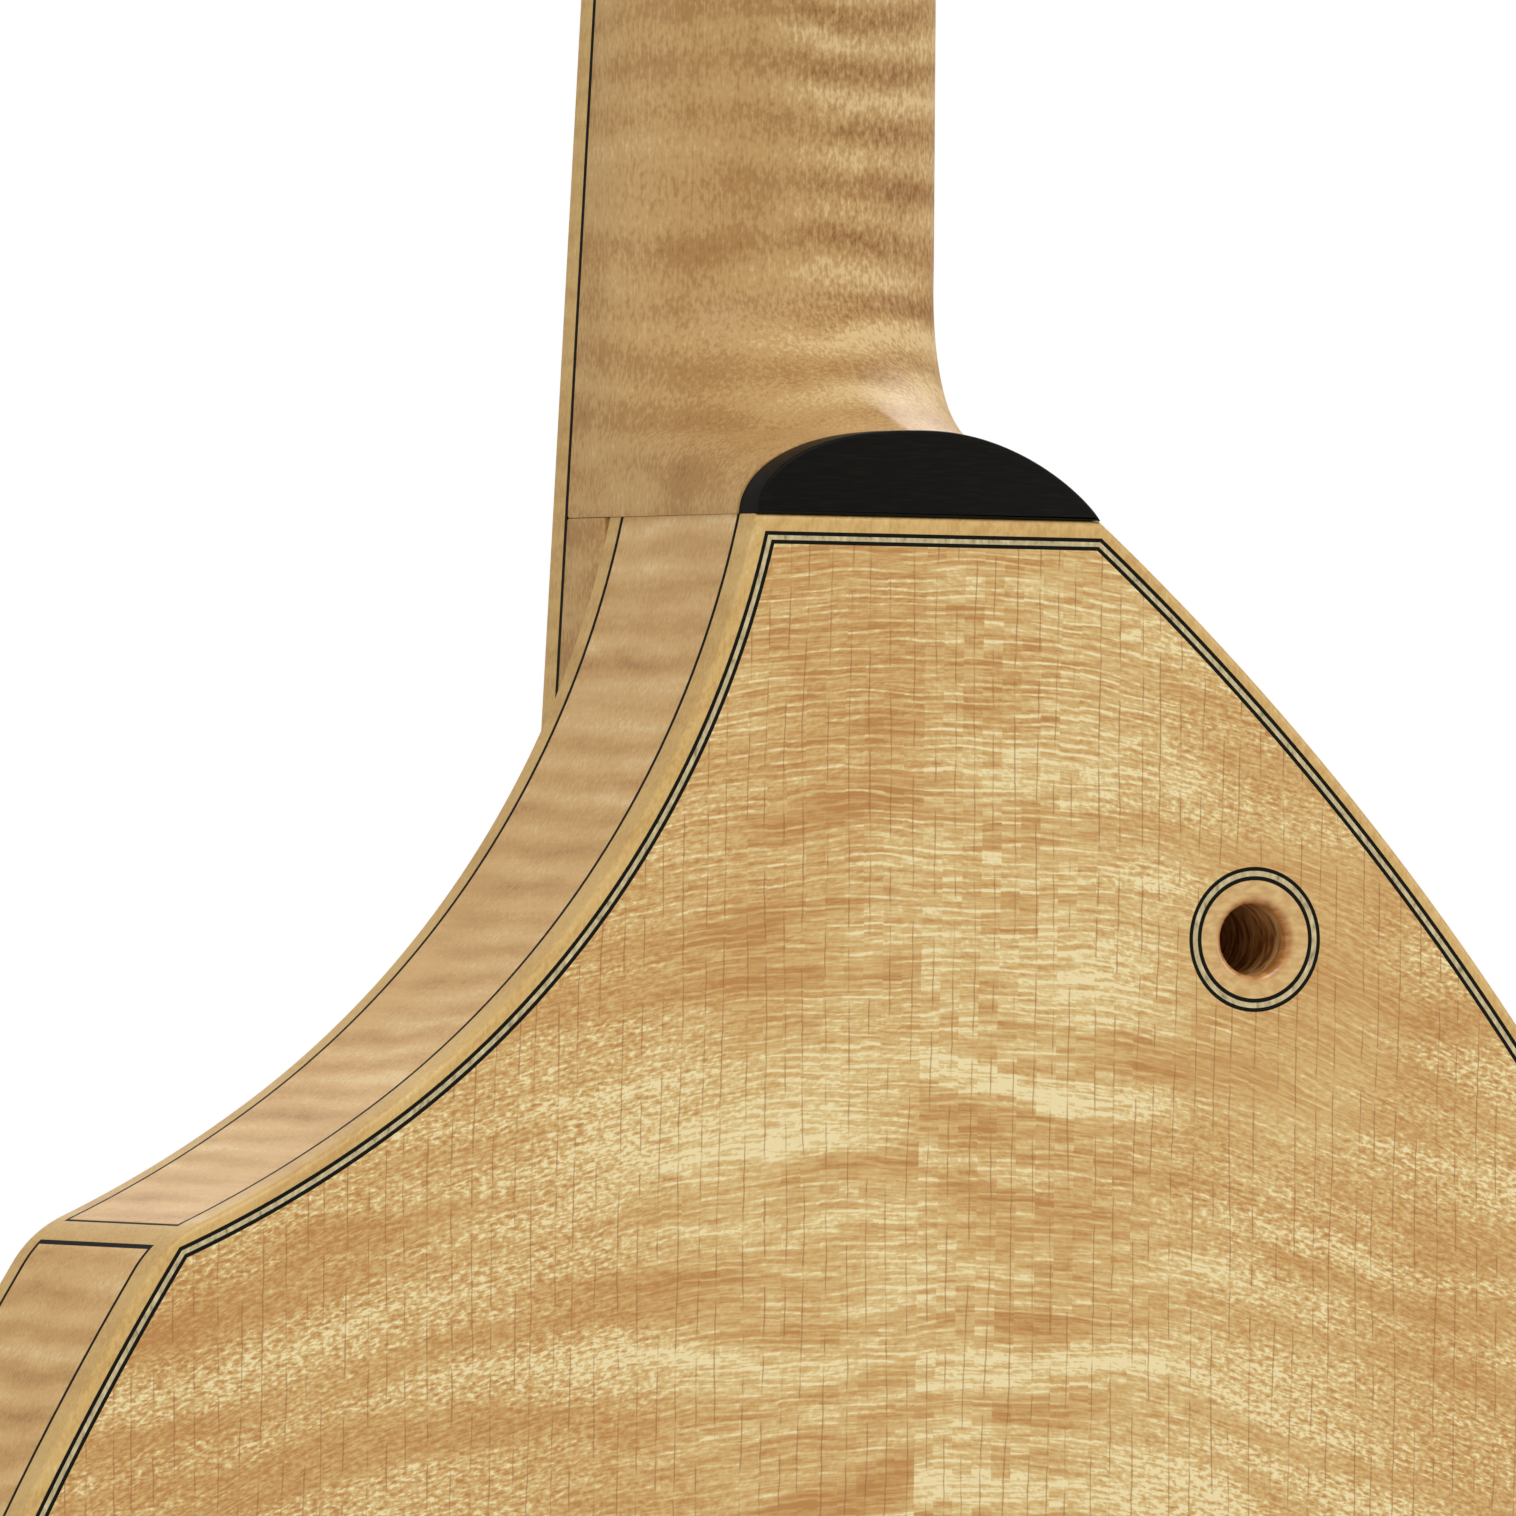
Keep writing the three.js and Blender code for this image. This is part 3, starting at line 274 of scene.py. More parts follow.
def loft_faces(rings, count, closed_rings=False, first=0):
    faces = []
    for r in range(rings if closed_rings else rings - 1):
        a0, b0 = first + r * count, first + ((r + 1) % rings) * count
        faces += [(a0 + i, a0 + (i + 1) % count, b0 + (i + 1) % count, b0 + i) for i in range(count)]
    return faces


def fill(vertices, loops, axes=(0, 2)):
    """Triangles between loops of vertex numbers, flat in the two axes."""
    index = [i for loop in loops for i in loop]
    flat = [[Vector((*(vertices[i][axis] for axis in axes), 0)) for i in loop] for loop in loops]
    return [tuple(index[i] for i in triangle) for triangle in tessellate_polygon(flat)]


def loft(name, rings, material, **how):
    """A skin over rings of equal point count with a flat face on each end."""
    count = len(rings[0])
    faces = loft_faces(len(rings), count)
    faces.append(tuple(range(count)))
    faces.append(tuple((len(rings) - 1) * count + i for i in range(count)))
    return make_object(name, place(np.vstack(rings)), faces, material, **how)


def sweep_edge(name, profile, material, **how):
    """A closed band round the whole outline. The profile is a closed list of (distance inwards, Y)."""
    rings = [np.insert(outline(by), 1, y, axis=1) for by, y in profile]
    faces = loft_faces(len(rings), len(rings[0]), closed_rings=True)
    return make_object(name, place(np.vstack(rings)), faces, material, **how)


def offset(loop, by):
    """A closed loop of 2D points moved outwards along its normals."""
    before, after = loop - np.roll(loop, 1, axis=0), np.roll(loop, -1, axis=0) - loop
    before = before / np.linalg.norm(before, axis=1)[:, None]
    after = after / np.linalg.norm(after, axis=1)[:, None]
    normals = np.column_stack([before[:, 1] + after[:, 1], -before[:, 0] - after[:, 0]])
    area = np.sum(loop[:, 0] * np.roll(loop[:, 1], -1) - loop[:, 1] * np.roll(loop[:, 0], -1))
    normals = normals / np.linalg.norm(normals, axis=1)[:, None] * np.sign(area)
    stretch = 1 / np.clip(np.sqrt((1 + np.sum(before * after, axis=1)) / 2), 0.5, 1)
    return loop + normals * (by * stretch)[:, None]


def rounded_levels(from_y, to_y, rounding, steps=4):
    """Levels of a plate's wall as (moved in by, Y), with a quarter round at the from_y end."""
    toward = math.copysign(1, to_y - from_y)
    turns = [i / steps * math.pi / 2 for i in range(steps + 1)] if rounding else [math.pi / 2]
    levels = [(rounding * (1 - math.sin(a)), from_y + toward * rounding * (1 - math.cos(a))) for a in turns]
    return levels + [(0.0, to_y)]


def plate(name, points, from_y, to_y, material, holes=(), rounding=0.0, both=False, tilt=0.0, **how):
    """A plate between two Y planes with holes through it. Its from_y edges, or both, can be rounded."""
    levels = rounded_levels(from_y, to_y, rounding)
    if both:
        middle = (from_y + to_y) / 2
        far = rounded_levels(to_y, middle, rounding)[::-1]
        levels = rounded_levels(from_y, middle, rounding)[:-1] + far[1:]
    loops = [(np.array(points, float), -1)] + [(np.array(h, float), 1) for h in holes]
    vertices, faces, starts = [], [], []
    for loop, grow in loops:
        starts.append(len(vertices))
        for inset, y in levels:
            ring = offset(loop, grow * inset) if inset else loop
            vertices += [(p[0], y + tilt * p[1], p[1]) for p in ring]
        faces += loft_faces(len(levels), len(loop), first=starts[-1])
    for k, flip in ((0, 1), (len(levels) - 1, -1)):
        rims = [range(s + k * len(loop), s + (k + 1) * len(loop)) for (loop, _), s in zip(loops, starts)]
        faces += [triangle[::flip] for triangle in fill(vertices, rims)]
    return make_object(name, place(vertices), faces, material, **how)


def circle(centre, radius, count=96):
    t = np.linspace(0, 2 * math.pi, count, endpoint=False)
    return np.column_stack([centre[0] + radius * np.cos(t), centre[1] + radius * np.sin(t)])


def turned(name, profile, centre, material, axis="y", count=72, **how):
    """A body turned about a line along Y or Z through centre, from a list of (radius, height)."""
    rings = []
    for radius, height in profile:
        ring = circle(centre, max(radius, 1e-3), count)
        rings.append(np.insert(ring, "xyz".index(axis), height, axis=1))
    if profile[0] == profile[-1]:
        faces = loft_faces(len(rings) - 1, count, closed_rings=True)
        return make_object(name, place(np.vstack(rings[:-1])), faces, material, **how)
    return loft(name, rings, material, **how)


def tube(name, points, radius, material, sides=16, **how):
    """A round rod along points, with a flat face on each end."""
    points = [np.array(p, float) for p in points]
    across, rings = np.array([1.0, 0.0, 0.0]), []
    t = np.linspace(0, 2 * math.pi, sides, endpoint=False)
    for i, p in enumerate(points):
        before, after = points[max(i - 1, 0)], points[min(i + 1, len(points) - 1)]
        tangent = unit(after - before)
        across = unit(across - tangent * np.dot(across, tangent))
        other = np.cross(tangent, across)
        rings.append(p + radius * (np.outer(np.cos(t), across) + np.outer(np.sin(t), other)))
    return loft(name, rings, material, **how)


def curve_through(points, steps):
    """A smooth curve through points of any dimension (a uniform Catmull-Rom spline)."""
    p = np.array(points, float)
    p = np.vstack([2 * p[0] - p[1], p, 2 * p[-1] - p[-2]])
    out = []
    for i in range(1, len(p) - 2):
        for k in range(steps):
            t = k / steps
            out.append(0.5 * (2 * p[i] + (p[i + 1] - p[i - 1]) * t
                              + (2 * p[i - 1] - 5 * p[i] + 4 * p[i + 1] - p[i + 2]) * t**2
                              + (3 * p[i] - p[i - 1] - 3 * p[i + 1] + p[i + 2]) * t**3))
    out.append(p[-2])
    return np.array(out)


def rounded_box(x0, x1, y0, y1, radii, steps=5):
    """Corner-rounded rectangle. Radii go round from (x1, y1) through (x0, y1) and (x0, y0) to (x1, y0)."""
    corners = [(x1, y1, 0), (x0, y1, 1), (x0, y0, 2), (x1, y0, 3)]
    points = []
    for (x, y, quarter), r in zip(corners, radii):
        r = max(r, 0.01)
        cx = x - r if quarter in (0, 3) else x + r
        cy = y - r if quarter in (0, 1) else y + r
        for i in range(steps + 1):
            a = (quarter + i / steps) * math.pi / 2
            points.append((cx + r * math.cos(a), cy + r * math.sin(a)))
    return np.array(points)


# ------------------------------------------------------------------ material graphs
def rgb(*channels):
    """An 8-bit screen colour as linear values."""
    shares = [channel / 255 for channel in channels]
    linear = [((share + 0.055) / 1.055) ** 2.4 if share > 0.04045 else share / 12.92 for share in shares]
    return (*linear, 1.0)


class Graph:
    """One material's nodes. Values passed round are sockets or plain numbers; lengths are millimetres."""

    def __init__(self, name, roughness=0.4, coat=0.0, coat_roughness=0.1, metallic=0.0, specular=0.5):
        self.material = bpy.data.materials.new(name)
        self.material.use_nodes = True
        self.tree = self.material.node_tree
        self.shader = self.tree.nodes["Principled BSDF"]
        self.shader.inputs["Roughness"].default_value = roughness
        self.shader.inputs["Metallic"].default_value = metallic
        self.shader.inputs["Coat Weight"].default_value = coat
        self.shader.inputs["Coat Roughness"].default_value = coat_roughness
        self.shader.inputs["Specular IOR Level"].default_value = specular
        coordinates = self.tree.nodes.new("ShaderNodeTexCoord")
        scaled = self.tree.nodes.new("ShaderNodeVectorMath")
        scaled.operation = "SCALE"
        scaled.inputs["Scale"].default_value = 1 / MM
        self.tree.links.new(coordinates.outputs["Object"], scaled.inputs[0])
        split = self.tree.nodes.new("ShaderNodeSeparateXYZ")
        self.tree.links.new(scaled.outputs[0], split.inputs[0])
        self.x, y, z = split.outputs
        self.y = self.sub(y, BACK_Y)
        self.z = self.sub(z, JOINT_Z)

    def put(self, socket, value):
        if hasattr(value, "links"):
            self.tree.links.new(value, socket)
        else:
            socket.default_value = value

    def math(self, operation, a, b=0.0):
        node = self.tree.nodes.new("ShaderNodeMath")
        node.operation = operation
        self.put(node.inputs[0], a)
        self.put(node.inputs[1], b)
        return node.outputs[0]

    def add(self, *terms):
        total = terms[0]
        for term in terms[1:]:
            total = self.math("ADD", total, term)
        return total

    def sub(self, a, b):
        return self.math("SUBTRACT", a, b)

    def mul(self, *terms):
        total = terms[0]
        for term in terms[1:]:
            total = self.math("MULTIPLY", total, term)
        return total

    def square(self, value):
        return self.math("POWER", value, 2.0)

    def about(self, value, gain):
        """A noise value turned into a push round zero."""
        return self.mul(self.sub(value, 0.5), gain)

    def noise(self, x, y, z=0.0, detail=2.0, roughness=0.5, distortion=0.0):
        """Noise from 0 to 1 with features about one unit across."""
        joined = self.tree.nodes.new("ShaderNodeCombineXYZ")
        for socket, value in zip(joined.inputs, (x, y, z)):
            self.put(socket, value)
        node = self.tree.nodes.new("ShaderNodeTexNoise")
        node.inputs["Scale"].default_value = 1.0
        node.inputs["Detail"].default_value = detail
        node.inputs["Roughness"].default_value = roughness
        node.inputs["Distortion"].default_value = distortion
        self.put(node.inputs["Vector"], joined.outputs[0])
        return node.outputs["Fac"]

    def field(self, x, z, y=0.0, at=None, **how):
        """Noise through the wood with frequencies along X, Z and Y, or the same at every depth."""
        third = self.mul(self.y, y) if at is None else at
        return self.noise(self.mul(self.x, x), self.mul(self.z, z), third, **how)

    def step(self, value, low, high, out_low=0.0, out_high=1.0):
        """A smooth step between two values; low may be above high."""
        node = self.tree.nodes.new("ShaderNodeMapRange")
        node.interpolation_type = "SMOOTHSTEP"
        self.put(node.inputs["Value"], value)
        for key, number in (("From Min", low), ("From Max", high), ("To Min", out_low), ("To Max", out_high)):
            node.inputs[key].default_value = number
        return node.outputs["Result"]

    def mix(self, share, a, b):
        node = self.tree.nodes.new("ShaderNodeMix")
        node.data_type = "RGBA"
        self.put(node.inputs[0], share)
        self.put(node.inputs[6], a)
        self.put(node.inputs[7], b)
        return node.outputs[2]

    def tones(self, value, stops):
        """A colour ramp through (position, colour) stops."""
        node = self.tree.nodes.new("ShaderNodeValToRGB")
        ramp = node.color_ramp
        ramp.interpolation = "EASE"
        while len(ramp.elements) < len(stops):
            ramp.elements.new(0.5)
        for element, (position, colour) in zip(ramp.elements, stops):
            element.position = position
            element.color = colour
        self.put(node.inputs["Fac"], value)
        return node.outputs["Color"]

    def from_axis(self, x, z):
        """Distance from an axis along Y."""
        return self.math("SQRT", self.add(self.square(self.sub(self.x, x)), self.square(self.sub(self.z, z))))

    def bump(self, height, strength, distance=0.1):
        node = self.tree.nodes.new("ShaderNodeBump")
        node.inputs["Strength"].default_value = strength
        node.inputs["Distance"].default_value = distance * MM
        self.put(node.inputs["Height"], height)
        self.tree.links.new(node.outputs[0], self.shader.inputs["Normal"])
        self.tree.links.new(node.outputs[0], self.shader.inputs["Coat Normal"])

    def finish(self, colour):
        self.put(self.shader.inputs["Base Color"], colour)
        return self.material


def broken_lines(g, across, along, pitch, width, wander, segment):
    """Thin broken lines along one direction, about a pitch apart, each in its own place."""
    drift = g.about(g.noise(g.mul(across, 0.05), g.mul(along, 0.012), 7.0), wander)
    jog = g.about(g.noise(g.mul(across, 0.3), g.mul(along, 0.3), 3.0, detail=1.0), 0.4)
    lane = g.mul(g.add(across, drift, jog), 1 / pitch)
    index = g.math("FLOOR", lane)
    jitter = g.about(g.noise(g.mul(index, 3.7), 2.0, 5.0, detail=0.0), 0.9)
    off = g.math("ABSOLUTE", g.add(g.math("FRACT", lane), jitter, -0.5))
    line = g.step(off, width / pitch, 0.3 * width / pitch)
    breaks = g.step(g.noise(g.mul(index, 5.3), g.mul(along, 1 / segment), 1.0, detail=2.0), 0.38, 0.56)
    return g.mul(line, breaks)


# Places on the back (x, z), their half widths, and how much lighter or darker the wood is there
BACK_PATCHES = [
    (-27, -58, 13, 36, 0.1), (-62, -74, 24, 30, -0.13), (-38, -102, 28, 7, -0.16),
    (58, -88, 17, 14, 0.12), (20, -28, 22, 28, -0.08), (-8, -128, 12, 14, 0.1),
]


def patches(g, places):
    total = 0.0
    for x, z, wide, tall, gain in places:
        across = g.square(g.mul(g.sub(g.x, x), 1 / wide))
        up = g.square(g.mul(g.sub(g.z, z), 1 / tall))
        total = g.add(total, g.mul(g.math("EXPONENT", g.sub(0.0, g.add(across, up))), gain))
    return total


def flamed_maple():
    """Bookmatched maple: flames that fall away from the seam, silk in them, and broken grain lines."""
    g = Graph("flamed_maple", roughness=0.48, coat=0.08, coat_roughness=0.2)
    ax = g.math("ABSOLUTE", g.x)
    bass = g.math("LESS_THAN", g.x, 0.0)
    sway = g.about(g.field(0.016, 0.02, at=3.0), 22.0)
    fall = g.add(g.z, g.mul(ax, 0.12), g.mul(g.square(ax), 0.0006), sway)
    flame_x = g.add(g.mul(ax, 0.014), g.mul(bass, 4.0))
    flame = g.noise(flame_x, g.mul(fall, 0.125), 1.0, detail=2.0, roughness=0.45)
    lower = g.step(g.z, -20.0, -110.0)
    edge = g.add(ax, g.about(g.field(0.02, 0.03, at=9.0), 60.0))
    near = g.step(edge, 66.0, 22.0)
    calm = g.step(g.mul(patches(g, BACK_PATCHES[1:2]), -1.0), 0.02, 0.1)
    lively = g.sub(1.0, g.mul(calm, 0.7))
    outward = g.step(ax, 45.0, 120.0, 1.0, 0.6)
    flames = g.mul(g.about(flame, 2.1), g.add(0.4, g.mul(lower, 0.6)), lively, outward)
    cloud = g.about(g.noise(g.add(g.mul(g.x, 0.03), 11.0), g.mul(g.z, 0.025), 2.0, detail=2.0), 0.75)
    lift = g.add(0.04, g.mul(bass, 0.09), g.mul(ax, -0.0018), g.mul(lower, 0.1))

    # Silk: fine arched lines that break at the grain lines, strongest near the seam and high up
    lane = g.mul(g.add(g.x, g.mul(sway, 0.1)), 0.3)
    column = g.math("FLOOR", lane)
    hop = g.about(g.noise(g.mul(column, 4.3), g.mul(g.z, 0.1), 8.0, detail=1.0), 0.8)
    arched = g.add(g.z, g.mul(g.square(g.sub(ax, 8.0)), 0.0028), g.mul(sway, 0.3), hop)
    bend = g.about(g.field(0.045, 0.16, at=5.0, detail=2.0), 3.4)
    wave = g.math("SINE", g.mul(g.add(arched, bend), 2 * math.pi / 1.4))
    shimmer = g.step(g.noise(g.mul(g.x, 0.07), g.mul(arched, 0.55), 6.0, detail=2.5), 0.36, 0.62)
    silk_share = g.add(0.14, g.mul(near, g.sub(1.0, g.mul(lower, 0.5)), 0.48), g.mul(calm, 0.14))
    silk = g.mul(g.sub(g.step(wave, 0.1, 1.0), 0.45), shimmer, silk_share)
    fine = g.about(g.noise(g.mul(g.x, 0.22), g.mul(arched, 2.8), 1.0, detail=2.0, roughness=0.6), 1.0)

    # Dashes: short bright strokes in slanting rows, mostly away from the seam and in the bright flames
    dash_z = g.add(g.z, g.mul(ax, 0.2), g.mul(hop, 0.3))
    dash = g.noise(g.mul(g.x, 0.62), g.mul(dash_z, 1.8), 4.0, detail=1.5, roughness=0.55, distortion=0.4)
    weave = g.noise(g.mul(g.add(g.x, dash_z), 1.1), g.mul(g.sub(g.x, dash_z), 0.9), 2.0, detail=1.0)
    dash_share = g.mul(g.add(0.3, g.mul(g.sub(1.0, near), 0.7)), g.step(flame, 0.38, 0.56, 0.5, 1.0))
    dash = g.mul(g.add(g.about(dash, 2.5), g.about(weave, 1.3)), dash_share, lively)

    # Cells: short blocks between the grain lines, near the seam
    cell = g.about(g.noise(g.mul(column, 5.1), g.mul(g.z, 0.6), 2.0, detail=2.0), 1.5)
    cell = g.mul(cell, near, g.add(0.55, g.mul(bass, 0.45)))
    value = g.add(0.5, flames, cloud, lift, silk, fine, dash, cell, patches(g, BACK_PATCHES))
    colour = g.tones(value, [
        (0.0, rgb(184, 130, 67)), (0.3, rgb(198, 152, 88)), (0.55, rgb(209, 172, 108)),
        (0.8, rgb(221, 193, 132)), (1.0, rgb(237, 218, 166)),
    ])
    grain = broken_lines(g, g.x, g.z, 3.5, 0.17, 4.0, 7.0)
    colour = g.mix(g.mul(grain, 0.6), colour, rgb(150, 90, 44))
    g.bump(g.add(g.mul(value, 0.5), g.mul(grain, -0.5)), 0.12, 0.05)
    return g.finish(colour)


def plain_maple(name, tones, pitch, along, flame, strokes, cloudy=0.5, lean=None, coat=0.0, sheen=0.35):
    """Quieter maple for ribs, neck and edges. along(g) is the distance along the piece, across its flames.

    The flames are strong in patches or, where lean gives two values of X, towards the second of them. There
    the wood is lighter too, except near the heel, where it is kept darker: painted shade that tones down the
    heel's glare.
    """
    g = Graph(name, roughness=0.5, coat=coat, coat_roughness=0.1, specular=sheen)
    run = along(g)
    sway = g.about(g.field(0.03, 0.03, 0.03), 1.1 * pitch)
    wave = g.math("SINE", g.mul(g.add(run, sway), 2 * math.pi / pitch))
    blotch = g.noise(g.mul(g.x, 0.02), g.mul(g.add(run, sway), 1.1 / pitch), g.mul(g.y, 0.02), detail=1.5)
    band = g.add(g.mul(wave, 0.12), g.about(blotch, 0.6))
    cloud = g.field(0.045, 0.04, 0.045, detail=3.0)
    side = g.field(0.03, 0.012, 0.03)
    stroke = g.field(1.5, 0.75, 1.5, detail=2.0, roughness=0.6)
    # Where lean is given, the figure fades out below 26 mm up the neck. This keeps the neck darker by the
    # heel: painted shade that tones down the heel's glare.
    if lean:
        figured = g.mul(g.step(g.add(g.x, g.about(side, 30.0)), *lean), g.step(g.z, 4.0, 26.0, 0.2, 1.0))
    else:
        figured = g.step(side, 0.3, 0.5)
    ripple = g.noise(g.mul(g.x, 0.1), g.mul(run, 0.9), g.mul(g.y, 0.1), detail=2.0)
    fibre = g.field(3.0, 0.25, 3.0, detail=1.0)
    bands = g.mul(band, 1.5 * flame, g.add(0.35, g.mul(figured, 0.65)))
    marks = g.mul(g.about(stroke, 1.3 * strokes), g.add(0.55, g.mul(figured, 0.45)))
    ripples = g.about(ripple, 0.6 * (1.2 - strokes))
    value = g.add(0.5, bands, g.about(cloud, cloudy), marks, ripples, g.about(fibre, 0.35))
    # Where lean is given, the figured side is lighter, and less so near the heel, where this is painted
    # shade.
    if lean:
        value = g.add(value, g.mul(figured, 0.17), -0.03)
    colour = g.tones(value, list(zip((0.0, 0.32, 0.6, 1.0), tones)))
    height = g.add(stroke, fibre, g.mul(cloud, coat * 8))
    g.bump(height, 0.12 + coat * 0.2, 0.04)
    return g.finish(colour)


def round_outline(g, centre, radius):
    """Distance along an arc of the outline."""
    return g.mul(g.math("ARCTAN2", g.sub(g.z, centre[1]), g.sub(g.x, centre[0])), radius)


def socket_maple():
    """Turned maple, darker amber at its lip. In the bore its ridges are lighter on their crests and darker
    between them: painted highlights and painted shade.
    """
    g = Graph("socket_maple", roughness=0.35, coat=0.3, coat_roughness=0.12)
    reach = g.from_axis(*SOCKET)
    fibre = g.field(0.5, 0.9, at=2.0, detail=3.0)
    light = g.mix(g.step(fibre, 0.35, 0.65), rgb(218, 182, 122), rgb(200, 158, 98))
    lip = g.mix(g.step(fibre, 0.4, 0.6), rgb(196, 138, 74), rgb(166, 108, 52))
    colour = g.mix(g.step(g.add(reach, g.about(fibre, 0.8)), 7.2, 5.9), light, lip)
    # Inside the bore the colour follows the ridges' bump, lighter on the crests and darker between them:
    # painted highlight and painted shade.
    ridges = g.field(0.2, 0.2, 0.9, detail=2.0)
    painted_ridge_light = g.mix(g.step(ridges, 0.35, 0.65), rgb(150, 98, 48), rgb(232, 186, 124))
    colour = g.mix(g.step(g.y, -0.9, -3.2), colour, painted_ridge_light)
    g.bump(ridges, 0.4, 0.2)
    return g.finish(colour)


def spruce_front():
    """Bookmatched spruce with straight rings and pale silk."""
    g = Graph("spruce_front", roughness=0.45, coat=0.2, coat_roughness=0.2)
    ax = g.math("ABSOLUTE", g.x)
    drift = g.mul(g.field(0.01, 0.004, at=2.0), 9.0)
    rings = g.math("FRACT", g.mul(g.add(ax, drift), 0.62))
    late = g.step(rings, 0.4, 0.95)
    tone = g.noise(g.mul(ax, 0.12), g.mul(g.z, 0.006), 3.0, detail=3.0)
    colour = g.mix(g.mul(late, 0.5), rgb(230, 196, 138), rgb(180, 124, 66))
    colour = g.mix(g.mul(g.step(tone, 0.4, 0.75), 0.35), colour, rgb(198, 148, 88))
    silk = g.noise(g.mul(ax, 0.5), g.mul(g.z, 0.11), 7.0, detail=2.0)
    colour = g.mix(g.mul(g.step(silk, 0.55, 0.75), 0.3), colour, rgb(240, 214, 162))
    g.bump(g.sub(0.0, late), 0.12, 0.05)
    return g.finish(colour)


def inner_wood():
    g = Graph("inner_spruce", roughness=0.75)
    fibre = g.field(0.9, 0.09, 0.9, detail=3.0)
    colour = g.mix(g.step(fibre, 0.35, 0.7), rgb(219, 196, 150), rgb(186, 152, 104))
    g.bump(fibre, 0.2, 0.1)
    return g.finish(colour)


def black_fibre():
    g = Graph("black_fibre", roughness=0.6, specular=0.1)
    tone = g.field(0.8, 0.8, 0.8, detail=2.0)
    return g.finish(g.mix(tone, rgb(8, 8, 5), rgb(20, 18, 11)))


def cream_core():
    g = Graph("cream_core", roughness=0.45, coat=0.15, coat_roughness=0.15)
    streak = g.field(1.1, 0.5, at=3.0, detail=3.0)
    return g.finish(g.tones(streak, [
        (0.3, rgb(134, 124, 90)), (0.45, rgb(186, 168, 124)), (0.7, rgb(214, 196, 150)),
    ]))


def ebony(name, across, lengthways):
    """Ebony whose fibres run along X or Z, by its frequencies along Z and along X."""
    g = Graph(name, roughness=0.45, specular=0.08)
    fibre = g.noise(g.mul(g.x, lengthways), g.mul(g.z, across), g.mul(g.y, 2.2), detail=3.0)
    pores = g.noise(g.mul(g.x, 2 * lengthways), g.mul(g.z, 2 * across), 2.0, detail=1.0)
    colour = g.mix(g.step(fibre, 0.42, 0.75), rgb(15, 14, 11), rgb(25, 22, 17))
    colour = g.mix(g.mul(g.step(pores, 0.6, 0.75), 0.5), colour, rgb(8, 8, 7))
    g.bump(pores, 0.12, 0.04)
    return g.finish(colour)


def rosewood():
    g = Graph("rosewood", roughness=0.45, coat=0.15, coat_roughness=0.2)
    fibre = g.field(0.5, 0.06, at=2.0, detail=4.0, roughness=0.6)
    pores = g.field(3.5, 0.35, at=5.0, detail=1.0)
    colour = g.mix(g.step(fibre, 0.35, 0.68), rgb(112, 62, 38), rgb(54, 28, 19))
    colour = g.mix(g.mul(g.step(pores, 0.6, 0.74), 0.6), colour, rgb(30, 15, 10))
    g.bump(pores, 0.2, 0.05)
    return g.finish(colour)


def bone():
    g = Graph("bone", roughness=0.35, coat=0.15, coat_roughness=0.1)
    tone = g.field(0.35, 0.35, 0.8, detail=3.0)
    return g.finish(g.mix(tone, rgb(238, 229, 204), rgb(216, 201, 166)))


def wound_metal():
    g = Graph("wound_metal", roughness=0.3, metallic=1.0)
    turns = g.math("SINE", g.mul(g.z, 2 * math.pi / 0.34))
    tone = g.noise(g.mul(g.z, 0.05), 1.0, 2.0)
    g.bump(turns, 0.5, 0.06)
    return g.finish(g.mix(tone, rgb(205, 200, 190), rgb(178, 168, 150)))


def nylon():
    g = Graph("nylon", roughness=0.25)
    tone = g.noise(g.mul(g.z, 0.08), 3.0, 1.0)
    return g.finish(g.mix(tone, rgb(236, 228, 205), rgb(206, 192, 160)))


def gut_cord():
    g = Graph("gut_cord", roughness=0.5)
    twist = g.math("SINE", g.mul(g.add(g.z, g.x, g.y), 2 * math.pi / 1.1))
    g.bump(twist, 0.5, 0.1)
    # The cord's colour follows its twist, darker in the grooves and lighter on the crests: painted shade and
    # painted highlight.
    return g.finish(g.mix(g.step(twist, -1.0, 1.0), rgb(40, 28, 20), rgb(72, 52, 36)))


RIB_TONES = [rgb(178, 132, 78), rgb(199, 155, 96), rgb(213, 172, 113), rgb(229, 198, 145)]
NECK_TONES = [rgb(150, 104, 56), rgb(177, 134, 81), rgb(199, 160, 104), rgb(227, 196, 142)]
EDGE_TONES = [rgb(178, 134, 72), rgb(196, 155, 91), rgb(209, 172, 106), rgb(226, 197, 138)]
MAPLE_BACK = flamed_maple()
MAPLE_RIB = plain_maple("rib_maple", RIB_TONES, 6.5, lambda g: round_outline(g, BOUT_CENTRE, 200.0), 1.0, 0.6)
MAPLE_CUTAWAY = plain_maple(
    "cutaway_maple", RIB_TONES, 6.5, lambda g: round_outline(g, CUTAWAY_CENTRE, CUTAWAY_RADIUS), 1.0, 0.6,
    sheen=0.55,
)
# Neck maple: figured and lighter towards the bass side, and kept darker near the heel, which is painted shade
# against the heel's glare.
MAPLE_NECK = plain_maple(
    "neck_maple", NECK_TONES, 9.0, lambda g: g.z, 1.2, 1.1, 1.0, lean=(16.0, -2.0), sheen=0.28,
)
MAPLE_EDGE = plain_maple("edge_maple", EDGE_TONES, 5.0, lambda g: g.add(g.z, g.x), 0.4, 0.6, coat=0.15)
MAPLE_SOCKET = socket_maple()
SPRUCE = spruce_front()
INNER = inner_wood()
BLACK = black_fibre()
CREAM = cream_core()
EBONY_ACROSS = ebony("ebony_across", 2.2, 0.2)
EBONY_ALONG = ebony("ebony_along", 0.08, 2.2)
ROSEWOOD = rosewood()
BONE = bone()
WOUND = wound_metal()
NYLON = nylon()
GUT = gut_cord()


